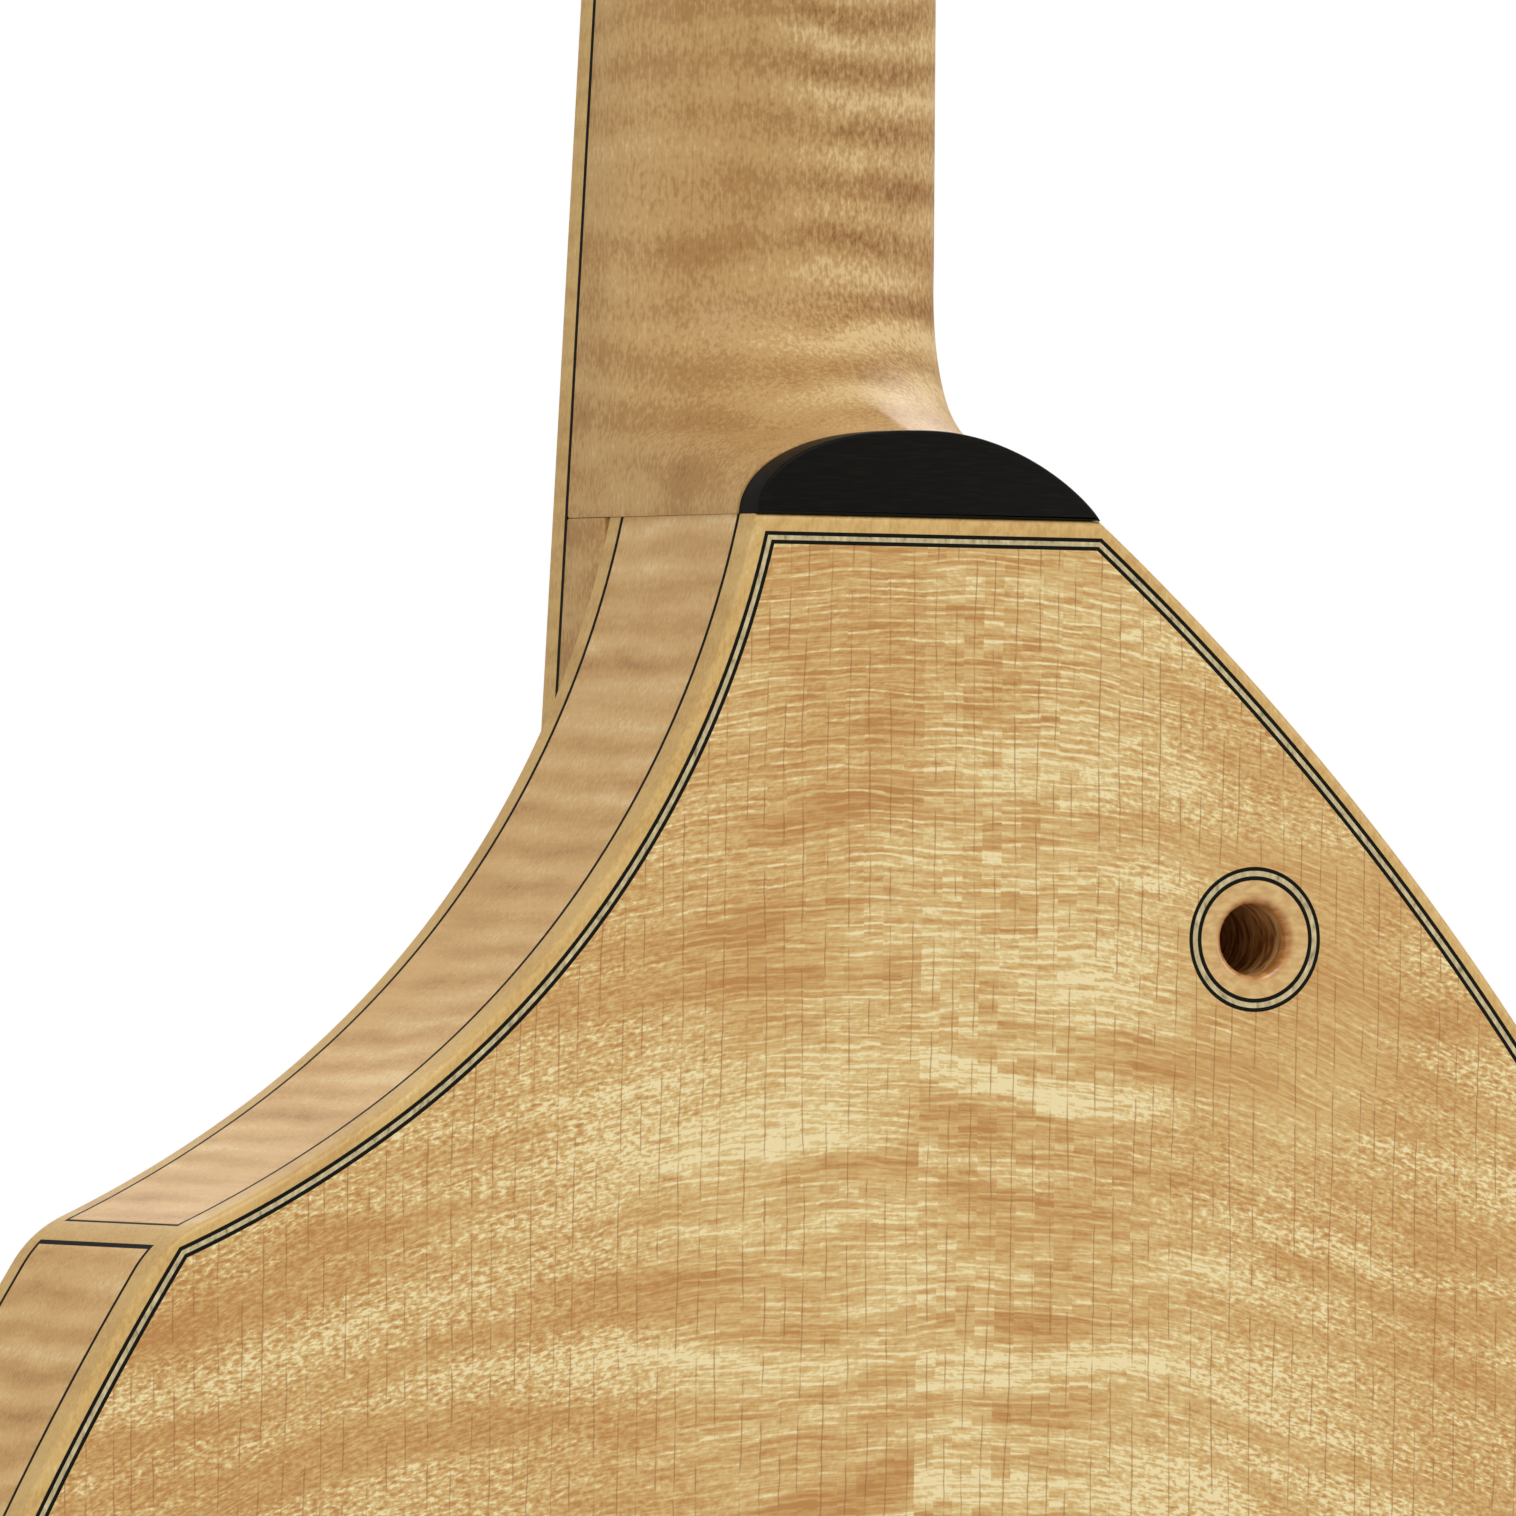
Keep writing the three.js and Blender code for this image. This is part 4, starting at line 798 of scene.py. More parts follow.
# ------------------------------------------------------------------ body
PURFLING_LAYERS = [("outer", BLACK), ("core", CREAM), ("inner", BLACK)]
PURFLING_EDGES = [BINDING_WIDTH, BINDING_WIDTH + PURFLING_LINE, PURFLING_END - PURFLING_LINE, PURFLING_END]
# The ribs' heights from the back band to the front band, with a black line at each end
RIB_LEVELS = [
    -BACK_BAND + SIDE_LINE / 2,
    -BACK_BAND - SIDE_LINE / 2,
    FRONT_Y + FRONT_BAND + SIDE_LINE / 2,
    FRONT_Y + FRONT_BAND - SIDE_LINE / 2,
]
EDGE_ROUNDING = 1.1


def half_outline(side, by):
    """The outline's bass or treble side, closed along the seam."""
    parts = outline_parts(by)
    top = parts["bass"][0][1]
    if side == "bass":
        return np.vstack([[[0.0, top]], parts["bass"]])
    stretches = [part[1:] for name, part in parts.items() if name not in ("bass", "treble")]
    return np.vstack([parts["treble"], *stretches, [[0.0, top]]])


def band_profile(inner, outer, top_y, bottom_y):
    return [(inner, top_y), (outer, top_y), (outer, bottom_y), (inner, bottom_y)]


def binding_profile(face_y, end_y):
    """A band whose outer corner is rounded over; face_y is on the instrument's face."""
    corner = rounded_levels(face_y, end_y, EDGE_ROUNDING, 8)
    return [(BINDING_WIDTH, face_y)] + corner + [(BINDING_WIDTH, end_y)]


def build_edges(end, face_y, band_end_y, plate_y):
    """Binding and purfling round the back or the front."""
    for i, (name, material) in enumerate(PURFLING_LAYERS):
        profile = band_profile(PURFLING_EDGES[i], PURFLING_EDGES[i + 1], face_y, plate_y)
        sweep_edge(f"{end}_purfling_{name}", profile, material, slot="purfling",
                   replaces=[f"{end}_purfling"] if i == 0 else [])
    sweep_edge(f"{end}_edge_band", binding_profile(face_y, band_end_y), MAPLE_EDGE, slot="edge_maple",
               replaces=[f"{end}_binding"])


def build_back():
    plate("back_half_treble", half_outline("treble", PURFLING_END), 0, -PLATE_THICKNESS, MAPLE_BACK,
          slot="back_maple", replaces=["back_plate_treble"])
    plate("back_half_bass", half_outline("bass", PURFLING_END), 0, -PLATE_THICKNESS, MAPLE_BACK,
          holes=[circle(SOCKET, SOCKET_RADII[0])], slot="back_maple", replaces=["back_plate_bass"])
    build_edges("back", 0.0, RIB_LEVELS[0], -PLATE_THICKNESS)


def build_ribs():
    outer, inner = outline_parts(0.0), outline_parts(RIB_THICKNESS)
    for part, name, material, slot, node in (
        ("bass", "bass_rib", MAPLE_RIB, "rib_maple", ["rib_bass"]),
        ("treble", "treble_rib_lower", MAPLE_RIB, "rib_maple", ["rib_treble_lower"]),
        ("line_below", "point_line_lower", BLACK, "purfling", []),
        ("point", "point_strip", MAPLE_EDGE, "edge_maple", ["cutaway_point_strip"]),
        ("line_above", "point_line_upper", BLACK, "purfling", []),
        ("cutaway", "treble_rib_upper", MAPLE_CUTAWAY, "rib_maple", ["rib_treble_upper"]),
    ):
        points = np.vstack([outer[part], inner[part][::-1]])
        levels = [RIB_LEVELS[0], RIB_LEVELS[-1]] if "point" in name else RIB_LEVELS[1:3]
        plate(name, points, *levels, material, slot=slot, replaces=node)
        if "point" not in name:
            plate(f"{name}_back_line", points, *RIB_LEVELS[:2], BLACK, slot="purfling")
            plate(f"{name}_front_line", points, *RIB_LEVELS[2:], BLACK, slot="purfling")


# Socket: radii of its outer line, core, inner line, ferrule and bore
SOCKET_RADII = [11.3, 10.68, 9.86, 9.2, 5.6]
SOCKET_DEPTH, SOCKET_LIP, SOCKET_BLOCK, SOCKET_BLOCK_CLEARANCE = 42.0, 1.3, 15.0, 4.3


def build_socket():
    for i, (name, material) in enumerate(PURFLING_LAYERS):
        outer, inner = SOCKET_RADII[i : i + 2]
        profile = [*band_profile(inner, outer, 0, -PLATE_THICKNESS), (inner, 0)]
        turned(f"socket_ring_{name}", profile, SOCKET, material, count=128, slot="purfling",
               replaces=["socket_purfling"] if i == 0 else [])
    ring, hole = SOCKET_RADII[3:]
    lip = [(hole + by, y) for by, y in rounded_levels(0, -PLATE_THICKNESS, SOCKET_LIP, 8)]
    profile = [(ring, 0), *lip, (ring, -PLATE_THICKNESS), (ring, 0)]
    turned("ferrule", profile, SOCKET, MAPLE_SOCKET, count=128, slot="edge_maple",
           replaces=["socket_ferrule"])
    bottom = FRONT_Y + BOARD_THICKNESS + SOCKET_BLOCK_CLEARANCE
    under = -PLATE_THICKNESS - PIECE_GAP
    profile = [(0, bottom), (SOCKET_BLOCK, bottom), (SOCKET_BLOCK, under), (hole + 0.2, under),
               (hole + 0.2, -SOCKET_DEPTH), (0, -SOCKET_DEPTH)]
    turned("socket_sleeve_block", profile, SOCKET, MAPLE_SOCKET, slot="rib_maple", replaces=["socket_block"])


# ------------------------------------------------------------------ soundboard
BOARD_EDGE = outline(PURFLING_END)
# Each rosette's centre, radius and number of folds
ROSETTES = {
    "main": ((0.0, -210.0), 42.0, 12),
    "treble": ((68.0, -285.0), 16.0, 6),
    "bass": ((-68.0, -285.0), 16.0, 6),
}
ROSETTE_INLAY, ROSETTE_THICKNESS, ROSETTE_DROP = [0.3, 1.1, 2.3, 3.1], 2.0, 0.5
# Rows of petals: the shift in folds, the shares of the radius at which a petal begins, is widest and ends,
# and its half angle in folds
PETAL_ROWS = [(0, 0.58, 0.74, 0.87, 0.32), (0.5, 0.37, 0.52, 0.66, 0.32), (0, 0.16, 0.27, 0.40, 0.30)]
DOT_AT, DOT_RADIUS = 0.82, 0.045


def share_to_edge(point):
    """How far a point lies from the arch's centre, as a share of the way to the board's edge."""
    ray = np.array(point, float) - ARCH_CENTRE
    start = BOARD_EDGE - ARCH_CENTRE
    along = np.roll(BOARD_EDGE, -1, axis=0) - BOARD_EDGE
    turn = ray[0] * along[:, 1] - ray[1] * along[:, 0]
    turn = np.where(np.abs(turn) < 1e-12, 1e-12, turn)
    where = (start[:, 0] * ray[1] - start[:, 1] * ray[0]) / turn
    reach = (start[:, 0] * along[:, 1] - start[:, 1] * along[:, 0]) / turn
    hit = (reach > 0) & (where >= 0) & (where <= 1)
    return float((1 / reach[hit]).max()) if hit.any() else 0.0


def arch(share):
    """The arch's height at a share of the way to the edge."""
    return ARCH_HEIGHT * (1 - smoothstep(share, ARCH_PLATEAU, 1))


def board_front(x, z):
    return FRONT_Y - arch(share_to_edge((x, z)))


def build_soundboard():
    """A flat middle with the rosettes' holes, and rings that fall from it to the edge, front and back."""
    shares = np.linspace(1.0, ARCH_PLATEAU, 26)
    count, vertices, faces, ends = len(BOARD_EDGE), [], [], []
    holes = [circle(centre, radius + ROSETTE_INLAY[-1], 96) for centre, radius, _ in ROSETTES.values()]
    for thickness in (0.0, BOARD_THICKNESS):
        first = len(vertices)
        for share in shares:
            ring = ARCH_CENTRE + (BOARD_EDGE - ARCH_CENTRE) * share
            vertices += [(p[0], FRONT_Y - arch(share) + thickness, p[1]) for p in ring]
        faces += loft_faces(len(shares), count, first=first)
        loops = [list(range(len(vertices) - count, len(vertices)))]
        for hole in holes:
            loops.append(list(range(len(vertices), len(vertices) + len(hole))))
            vertices += [(p[0], FRONT_Y - ARCH_HEIGHT + thickness, p[1]) for p in hole]
        faces += fill(vertices, loops)
        ends.append([list(range(first, first + count))] + loops[1:])
    for front, back in zip(*ends):
        faces += [(front[i - 1], front[i], back[i], back[i - 1]) for i in range(len(front))]
    make_object("soundboard_plate", place(vertices), faces, SPRUCE, slot="spruce", replaces=["soundboard"])


def petal(centre, angle, inner, middle, outer, half_angle, steps=6):
    """A pierced opening on a radius of the rosette: a kite whose sides bow outwards a little."""
    corners = [(inner, 0), (middle, half_angle), (outer, 0), (middle, -half_angle)]
    points = []
    for (r0, a0), (r1, a1) in zip(corners, corners[1:] + corners[:1]):
        for i in range(steps):
            t = i / steps
            radius, turn = r0 + (r1 - r0) * t, a0 + (a1 - a0) * t
            bow = 1 + 0.1 * math.sin(math.pi * t)
            points.append([centre[0] + radius * math.cos(angle + turn * bow),
                           centre[1] + radius * math.sin(angle + turn * bow)])
    return np.array(points)


def build_rosettes():
    front = FRONT_Y - ARCH_HEIGHT + ROSETTE_DROP
    for name, (centre, radius, folds) in ROSETTES.items():
        turn, holes = 2 * math.pi / folds, []
        for i in range(folds):
            for shift, *spans, share in PETAL_ROWS:
                reaches = [span * radius for span in spans]
                holes.append(petal(centre, (i + shift) * turn, *reaches, share * turn))
            between = (i + 0.5) * turn
            dot = [c + DOT_AT * radius * f(between) for c, f in zip(centre, (math.cos, math.sin))]
            holes.append(circle(dot, DOT_RADIUS * radius, 16))
        rim = circle(centre, radius, 144)
        plate(f"rosette_{name}_fretwork", rim, front, front + ROSETTE_THICKNESS, ROSEWOOD, holes=holes,
              rounding=0.35, slot="rosewood", replaces=[f"rosette_{name}"])
        for part, (_, material) in enumerate(PURFLING_LAYERS):
            inner, outer = radius + ROSETTE_INLAY[part], radius + ROSETTE_INLAY[part + 1]
            top, bottom = FRONT_Y - ARCH_HEIGHT, FRONT_Y - ARCH_HEIGHT + BOARD_THICKNESS
            profile = [*band_profile(inner, outer, top, bottom), (inner, top)]
            turned(f"rosette_{name}_inlay_{part + 1}", profile, centre, material, count=144, slot="purfling")


# ------------------------------------------------------------------ neck and fingerboard
# The heel cap's curve on each side: its power, its root and its foot's distance from the middle
CAP_EDGE = {1: (2.4, 0.5, CUTAWAY_TOP_X), -1: (2.0, 0.85, BASS_TOP_X)}
CAP_LEDGE = 0.45
NUT_END = NECK_LENGTH + NUT_LENGTH
MITRE = math.radians(39.0)
# The neck stops this far short of the mitre, and the pegbox laps a little into it to close the joint
MITRE_CUT, MITRE_LAP = 0.15, 0.14
# How fast the pegbox leaves the mitre along its rim
MITRE_SLOPE = 0.78
JOINT_GROOVE = 0.15
VENEER_LAP = 0.17


def half_width(z):
    return NECK_HALF_WIDTH - NECK_TAPER * z


def neck_plane(y, z):
    return y + NECK_TILT * z


CORNER_Y, CORNER_Z = neck_plane(NECK_FRONT, NUT_END), NUT_END


def cap_height(side, share):
    """The heel cap's height at a share of its half width."""
    power, root, _ = CAP_EDGE[side]
    return CAP_HEIGHT * (1 - share**power) ** root


def cap_share(side, z):
    """The inverse of cap_height, as a share of the cap's half width."""
    power, root, _ = CAP_EDGE[side]
    return (1 - min(z / CAP_HEIGHT, 1.0) ** (1 / root)) ** (1 / power)


def ridge(z):
    """The neck's back along its middle, which sweeps out to the heel."""
    back = neck_plane(NECK_FRONT + NECK_DEPTH, z)
    return back + (-BACK_BAND - back) * (1 - ramp(z, CAP_HEIGHT, HEEL_TOP)) ** 2.6


def neck_point(side, share, z):
    """A point of the neck's skin at a share of its depth, 0 at the fingerboard and 1 on the ridge."""
    rounding = smoothstep(z, CAP_HEIGHT, HEEL_TOP)
    bulge, fullness = 2.5 + 0.5 * rounding, 1 + 2 * rounding
    flat = max(0.4, CAP_EDGE[side][2] * cap_share(side, z) + CAP_LEDGE * (1 - rounding))
    swell = (1 - share**bulge) ** (1 / fullness)
    front = neck_plane(NECK_FRONT, z)
    return [side * (flat + (half_width(z) - flat) * swell), front + (ridge(z) - front) * share, z]


def mitre_z(y):
    return CORNER_Z - (y - CORNER_Y) * math.tan(MITRE) - MITRE_CUT


def neck_ring(z, pull=0.0, steps=36):
    """The neck's skin at a height, cut off at the mitre, and drawn in a little where pull is given."""
    shares = np.sin(np.linspace(0, 1, steps + 1) * math.pi / 2)
    shares[-1] = 1.0
    ring = []
    for side, order in ((1, shares), (-1, shares[::-1])):
        for share in order:
            p = neck_point(side, share, z)
            for _ in range(5):
                p = neck_point(side, share, min(z, mitre_z(p[1])))
            ring.append([p[0] - side * min(pull, abs(p[0])), p[1] - pull, p[2]])
    return np.array(ring)


def build_neck():
    heel = np.linspace(0.4, CAP_HEIGHT, 14)
    sweep = np.linspace(CAP_HEIGHT, HEEL_TOP + 4, 40)[1:]
    shaft = np.linspace(HEEL_TOP + 8, 180, 24)
    tip = np.linspace(182, CORNER_Z, 14)
    heights = np.concatenate([heel, sweep, shaft, tip])
    rings = [neck_ring(0.05, JOINT_GROOVE)] + [neck_ring(z) for z in heights]
    loft("neck_shaft", rings, MAPLE_NECK, slot="neck_maple", smooth_angle=50, replaces=["neck"])
    levels = np.concatenate([[-0.05, -0.4], np.linspace(-4, -99, 30), [-99.7, -100]])
    rings = []
    for z in levels:
        pull = JOINT_GROOVE if z in (levels[0], levels[-1]) else 0.0
        x = half_width(z) - pull
        back = min(FRONT_Y, board_front(0, min(z, -PURFLING_END))) - 0.05
        front = neck_plane(NECK_FRONT, z)
        box = rounded_box(-x, x, front, back, [0.3, 0.3, 0.01, 0.01], 3)
        rings.append(np.insert(box, 2, z, axis=1))
    loft("neck_extension_block", rings, MAPLE_NECK, slot="neck_maple", replaces=["neck_extension"])


def build_heel_cap():
    shares = np.cos(np.linspace(0, 1, 41) * math.pi / 2)
    bass = [(-BASS_TOP_X * s, cap_height(-1, s)) for s in shares]
    treble = [(CUTAWAY_TOP_X * s, cap_height(1, s)) for s in shares[::-1]]
    points = np.array(bass + treble[1:])
    points[:, 1] += 0.05
    plate("heel_cap_plate", points, 0, -BACK_BAND, EBONY_ACROSS, rounding=0.5, slot="ebony",
          replaces=["heel_cap"])


def board_outline(by):
    """The fingerboard's outline moved inwards."""
    low = FINGERBOARD_END + by
    top, bottom = half_width(NECK_LENGTH) - by, half_width(low) - by
    return np.array([[-top, NECK_LENGTH], [-bottom, low], [bottom, low], [top, NECK_LENGTH]])


def build_fingerboard():
    under = BOARD_FRONT + FINGERBOARD_THICKNESS
    inner = board_outline(FINGERBOARD_BINDING)
    edge = np.vstack([board_outline(0), inner[::-1]])
    plate("fingerboard_top", inner, BOARD_FRONT, under, EBONY_ALONG, tilt=NECK_TILT, slot="ebony",
          replaces=["fingerboard"])
    plate("fingerboard_edge", edge, BOARD_FRONT, under, MAPLE_EDGE, tilt=NECK_TILT, slot="edge_maple",
          rounding=0.25, both=True, replaces=["fingerboard_binding"])
    plate("fingerboard_veneer", board_outline(-0.05), under - VENEER_LAP, under + VENEER + VENEER_LAP, BLACK,
          tilt=NECK_TILT, slot="purfling")


# ------------------------------------------------------------------ strings' layout
COURSES, NUT_SPREAD, BRIDGE_SPREAD, NUT_PAIR, BRIDGE_PAIR = 6, 35.0, 62.0, 2.2, 3.6
# The strings draw together past the nut and past the bridge, to these shares of their spread there
PEG_SPREAD, TAIL_SPREAD = 0.55, 0.78
STRING_RADII = [0.55, 0.5, 0.44, 0.4, 0.36, 0.33]
STRING_LIFT, WOUND_COURSES = 0.3, 3
BRIDGE_TOP, BRIDGE_HALF, BRIDGE_TOP_SHARE, SADDLE_END = -94.0, 4.5, 0.33, 33.2
TAIL_TOP_Z, TAIL_END_Z, STRING_TAIL_Y, PIN_Y = -428.0, -464.0, -81.0, -28.0
# The peg that each string goes to, from the bass side
PEG_OF_STRING = [0, 2, 4, 6, 8, 10, 9, 7, 5, 3, 1]


def string_layout():
    """Radius, place on the nut and place on the bridge of each string, and whether it is wound."""
    strings = []
    for course in range(COURSES):
        share = course / (COURSES - 1) - 0.5
        for side in [0.0] if course == 0 else [-0.5, 0.5]:
            nut_x = share * NUT_SPREAD + side * NUT_PAIR
            bridge_x = share * BRIDGE_SPREAD + side * BRIDGE_PAIR
            strings.append((STRING_RADII[course], nut_x, bridge_x, course < WOUND_COURSES))
    return strings


STRINGS = string_layout()
BAR_END_SOFT = 0.5
# Where a bar along X gets a section, as distances from a string's side
NOTCH_STOPS = (-0.1, 0.05, 0.12, 0.2, 0.28, 0.36)


def crest(x, places):
    """How far a nut's or saddle's top has risen at x: 0 at a string, 1 between strings."""
    near = min(abs(x - at) - radius for radius, at in places)
    return smoothstep(near, 0.05, 0.35)


def notched_bar(name, end, places, section, material, **how):
    """A bar along X from -end to end. section(x, rise) gives its ring of (Y, Z) points."""
    stops, rings = {-end, end, BAR_END_SOFT - end, end - BAR_END_SOFT}, []
    for radius, at in places:
        stops |= {at + side * (radius + d) for side in (-1, 1) for d in NOTCH_STOPS}
    for x in sorted(stops):
        rings.append(np.insert(section(x, crest(x, places)), 0, x, axis=1))
    return loft(name, rings, material, **how)


def build_nut():
    end = half_width(NECK_LENGTH) - 0.2
    places = [(radius, nut_x) for radius, nut_x, _, _ in STRINGS]

    def section(x, rise):
        soft = 0.5 * smoothstep(abs(x), end - BAR_END_SOFT, end)
        top = BOARD_FRONT - NUT_PROUD - STRING_LIFT - 0.55 * rise + soft
        box = rounded_box(NECK_LENGTH + 0.05, NUT_END, top, NECK_FRONT - 0.02, [0.1, 0.1, 0.9, 0.9])
        return np.column_stack([neck_plane(box[:, 1], box[:, 0]), box[:, 0]])

    notched_bar("nut_bone", end, places, section, BONE, slot="bone", replaces=["nut"])


# ------------------------------------------------------------------ pegbox and pegs
PEGBOX_ANGLES = math.radians(78.0), math.radians(62.0)
PEGBOX_LENGTH, PEGBOX_END_WIDTH, PEGBOX_DEPTHS = 190.0, 13.0, (27.0, 22.0)
PEGBOX_FLOOR, CHEEK, CHEEK_END = 4.5, 5.2, 183.0
PEGS, PEG_FIRST, PEG_PITCH, PEG_UP, PEG_RADIUS, PEG_FAR_RADIUS = 11, 30.0, 14.5, -10.0, 3.6, 2.9
PEG_TURN = math.radians(37.0)
WINDING_TURNS = 4


def pegbox_yz(along, up):
    """The place at a distance along the pegbox's curved rim and a height above it."""
    start, end = PEGBOX_ANGLES
    bend = (start - end) / PEGBOX_LENGTH
    angle = start - bend * along
    y = (math.cos(angle) - math.cos(start)) / bend - up * math.cos(angle)
    z = (math.sin(start) - math.sin(angle)) / bend + up * math.sin(angle)
    return CORNER_Y + y, CORNER_Z + z


def pegbox_width(along):
    return half_width(NECK_LENGTH) + (PEGBOX_END_WIDTH - half_width(NECK_LENGTH)) * along / PEGBOX_LENGTH


def pegbox_depth(along):
    return PEGBOX_DEPTHS[0] + (PEGBOX_DEPTHS[1] - PEGBOX_DEPTHS[0]) * along / PEGBOX_LENGTH


def mitre_start(up):
    """The distance along the pegbox at which a given height meets the mitre with the neck."""
    along = 0.0
    for _ in range(8):
        y, z = pegbox_yz(along, up)
        past = (y - CORNER_Y) * math.sin(MITRE) + (z - CORNER_Z) * math.cos(MITRE)
        along -= (past + MITRE_LAP) / MITRE_SLOPE
    return along


def pegbox_ring(box, t):
    """A section (X, height above the rim) put at a share of the way from the mitre to the cheeks' end."""
    ring = []
    for x, up in box:
        start = mitre_start(up)
        along = start + (CHEEK_END - start) * t
        y, z = pegbox_yz(along, up)
        ring.append([x, y, z])
    return np.array(ring)


def peg_side(peg):
    """1 for a peg whose head is on the treble side, -1 for the bass side."""
    return 1 if peg % 2 else -1


def peg_along(peg):
    return PEG_FIRST + PEG_PITCH * peg


def shank_radius(peg, x):
    """A peg's shank tapers from its head's side to its far end."""
    reach = pegbox_width(peg_along(peg))
    return PEG_FAR_RADIUS + (PEG_RADIUS - PEG_FAR_RADIUS) * (peg_side(peg) * x + reach) / (2 * reach)


# The finial past the end block: distance ahead, lowest and highest point, and half width
FINIAL = [
    (10, -16, -1, 8.2), (12, -14, -1.2, 7.6), (15, -13.6, -0.3, 9.6), (18, -13, 0, 11),
    (21, -11.8, -0.3, 10.6), (23.5, -10, -1.2, 8.4), (24.8, -8, -2.6, 5), (25.2, -6.2, -4.2, 1.6),
]


def build_pegbox():
    stations = np.linspace(0, 1, 36)
    pegs = [pegbox_yz(peg_along(i), PEG_UP) for i in range(PEGS)]
    for side, name in ((1, "treble"), (-1, "bass")):
        rings = []
        for t in stations:
            along = CHEEK_END * t
            x1, foot = pegbox_width(along), PEGBOX_FLOOR + 0.03 - pegbox_depth(along)
            box = rounded_box(x1 - CHEEK, x1, foot, 0, [1.3, 0.9, 0.02, 0.02])
            rings.append(pegbox_ring(box * [side, 1], t))
        cheek = loft(f"cheek_{name}", rings, MAPLE_NECK, slot="neck_maple", replaces=[f"pegbox_cheek_{name}"])
        radii = []
        for i in range(PEGS):
            radii.append((PEG_RADIUS if peg_side(i) == side else PEG_FAR_RADIUS + 0.15) + 0.1)
        bore(cheek, pegs, radii, 200)
    rings = []
    for t in stations:
        along = CHEEK_END * t
        x, depth = pegbox_width(along), pegbox_depth(along)
        box = rounded_box(-x, x, -depth, PEGBOX_FLOOR - depth, [0.02, 0.02, 2.2, 2.2])
        rings.append(pegbox_ring(box, t))
    depth = pegbox_depth(CHEEK_END)
    block = [(0.3, -depth, 0, 13.3), (2, -depth, 0, 13.25)]
    block += [(6.5, -depth + 0.6, -0.3, 12.8), (8, -depth + 3, -0.8, 11)]
    for ahead, low, high, wide in curve_through(block + FINIAL, 3):
        rounding = min(2.2 + ahead * 0.25, wide * 0.8, (high - low) * 0.48)
        box = rounded_box(-wide, wide, low, high, [rounding] * 4)
        rings.append(np.array([[x, *pegbox_yz(CHEEK_END + ahead, up)] for x, up in box]))
    loft("pegbox_floor_and_finial", rings, MAPLE_NECK, slot="neck_maple", replaces=["pegbox_back"])

    # A corner block across the floor closes what the neck's round back leaves open at the mitre
    x, foot = pegbox_width(0) - CHEEK + 0.1, PEGBOX_FLOOR - pegbox_depth(0)
    corner = rounded_box(-x, x, foot - 0.2, foot + 9, [0.8, 0.8, 0.02, 0.02])
    rings = [pegbox_ring(corner, t) for t in (-0.002, 0.02)]
    loft("pegbox_corner_block", rings, MAPLE_NECK, slot="neck_maple")


# A peg's round stations past the far cheek and past the near cheek, as (distance past it, radius)
PEG_END = [(2, 1.6), (1.9, 2.4), (1.4, 2.9)]
PEG_COLLAR = [(0.9, 3.6), (1.1, 4.7), (1.6, 5.2), (2.1, 4.8), (2.4, 4.3), (2.7, 4.8), (3.3, 5.1), (4.2, 4.6)]
PEG_PIP = [(25.8, 1.5), (26.0, 1.7), (26.5, 1.6), (26.85, 1.1), (27.0, 0.3)]
# Its stem and flat head, as (distance past the cheek, half width, half thickness)
PEG_HEAD = [
    (4.2, 4.6, 4.6), (5.6, 3.3, 3.3), (7.2, 3.7, 3.1), (9, 6.2, 3.1), (12, 8.8, 3.3), (16, 10.2, 3.2),
    (20, 9.9, 3.1), (23, 8.6, 2.8), (25.2, 6, 2.4), (26, 3.4, 2),
]


def build_peg(i):
    """Far end, tapered shank, ringed collar, stem and flat oval head with a bone pip."""
    side, reach, turn = peg_side(i), pegbox_width(peg_along(i)), i * PEG_TURN
    cy, cz = pegbox_yz(peg_along(i), PEG_UP)
    body = f"tuner_{i + 1}"
    stations = [(-reach - d, r, r) for d, r in PEG_END]
    for k in range(-6, 7):
        x = reach * k / 6
        stations.append((x, *[shank_radius(i, side * x)] * 2))
    stations += [(reach + d, r, r) for d, r in PEG_COLLAR]
    stations += [(reach + d, wide, thin) for d, wide, thin in curve_through(PEG_HEAD, 4)[1:]]

    def ring(x, wide, thin):
        t = np.linspace(0, 2 * math.pi, 36, endpoint=False)
        p, q = wide * np.cos(t), thin * np.sin(t)
        return np.column_stack([np.full(36, side * x), cy + p * math.cos(turn) - q * math.sin(turn),
                                cz + p * math.sin(turn) + q * math.cos(turn)])

    loft(f"tuner_peg_{i + 1}", [ring(*s) for s in stations], EBONY_ACROSS, smooth_angle=40, body=body,
         slot="ebony", replaces=[f"peg_{i + 1}"])
    loft(f"tuner_pip_{i + 1}", [ring(reach + d, r, r) for d, r in PEG_PIP], BONE, body=body, slot="bone")


def build_winding(index):
    """The string's turns round its peg's shank, side by side; they turn with the peg."""
    radius, nut_x, _, wound = STRINGS[index]
    peg = PEG_OF_STRING[index]
    side, centre = peg_side(peg), pegbox_yz(peg_along(peg), PEG_UP)
    profile = []
    for turn in range(WINDING_TURNS):
        for bend in np.linspace(0, math.pi, 8):
            x = nut_x * PEG_SPREAD + side * radius * (2 * turn - 0.98 * math.cos(bend))
            profile.append((x, shank_radius(peg, x) + radius * (0.95 + 0.98 * math.sin(bend))))
    profile += [(x, shank_radius(peg, x) + 0.03) for x in (profile[-1][0], profile[0][0])]
    count = 40
    rings = [np.insert(circle(centre, r, count), 0, x, axis=1) for x, r in profile]
    faces = loft_faces(len(rings), count, closed_rings=True)
    make_object(f"winding_{index + 1}", place(np.vstack(rings)), faces, WOUND if wound else NYLON,
                body=f"tuner_{peg + 1}", slot="wound_string" if wound else "nylon")


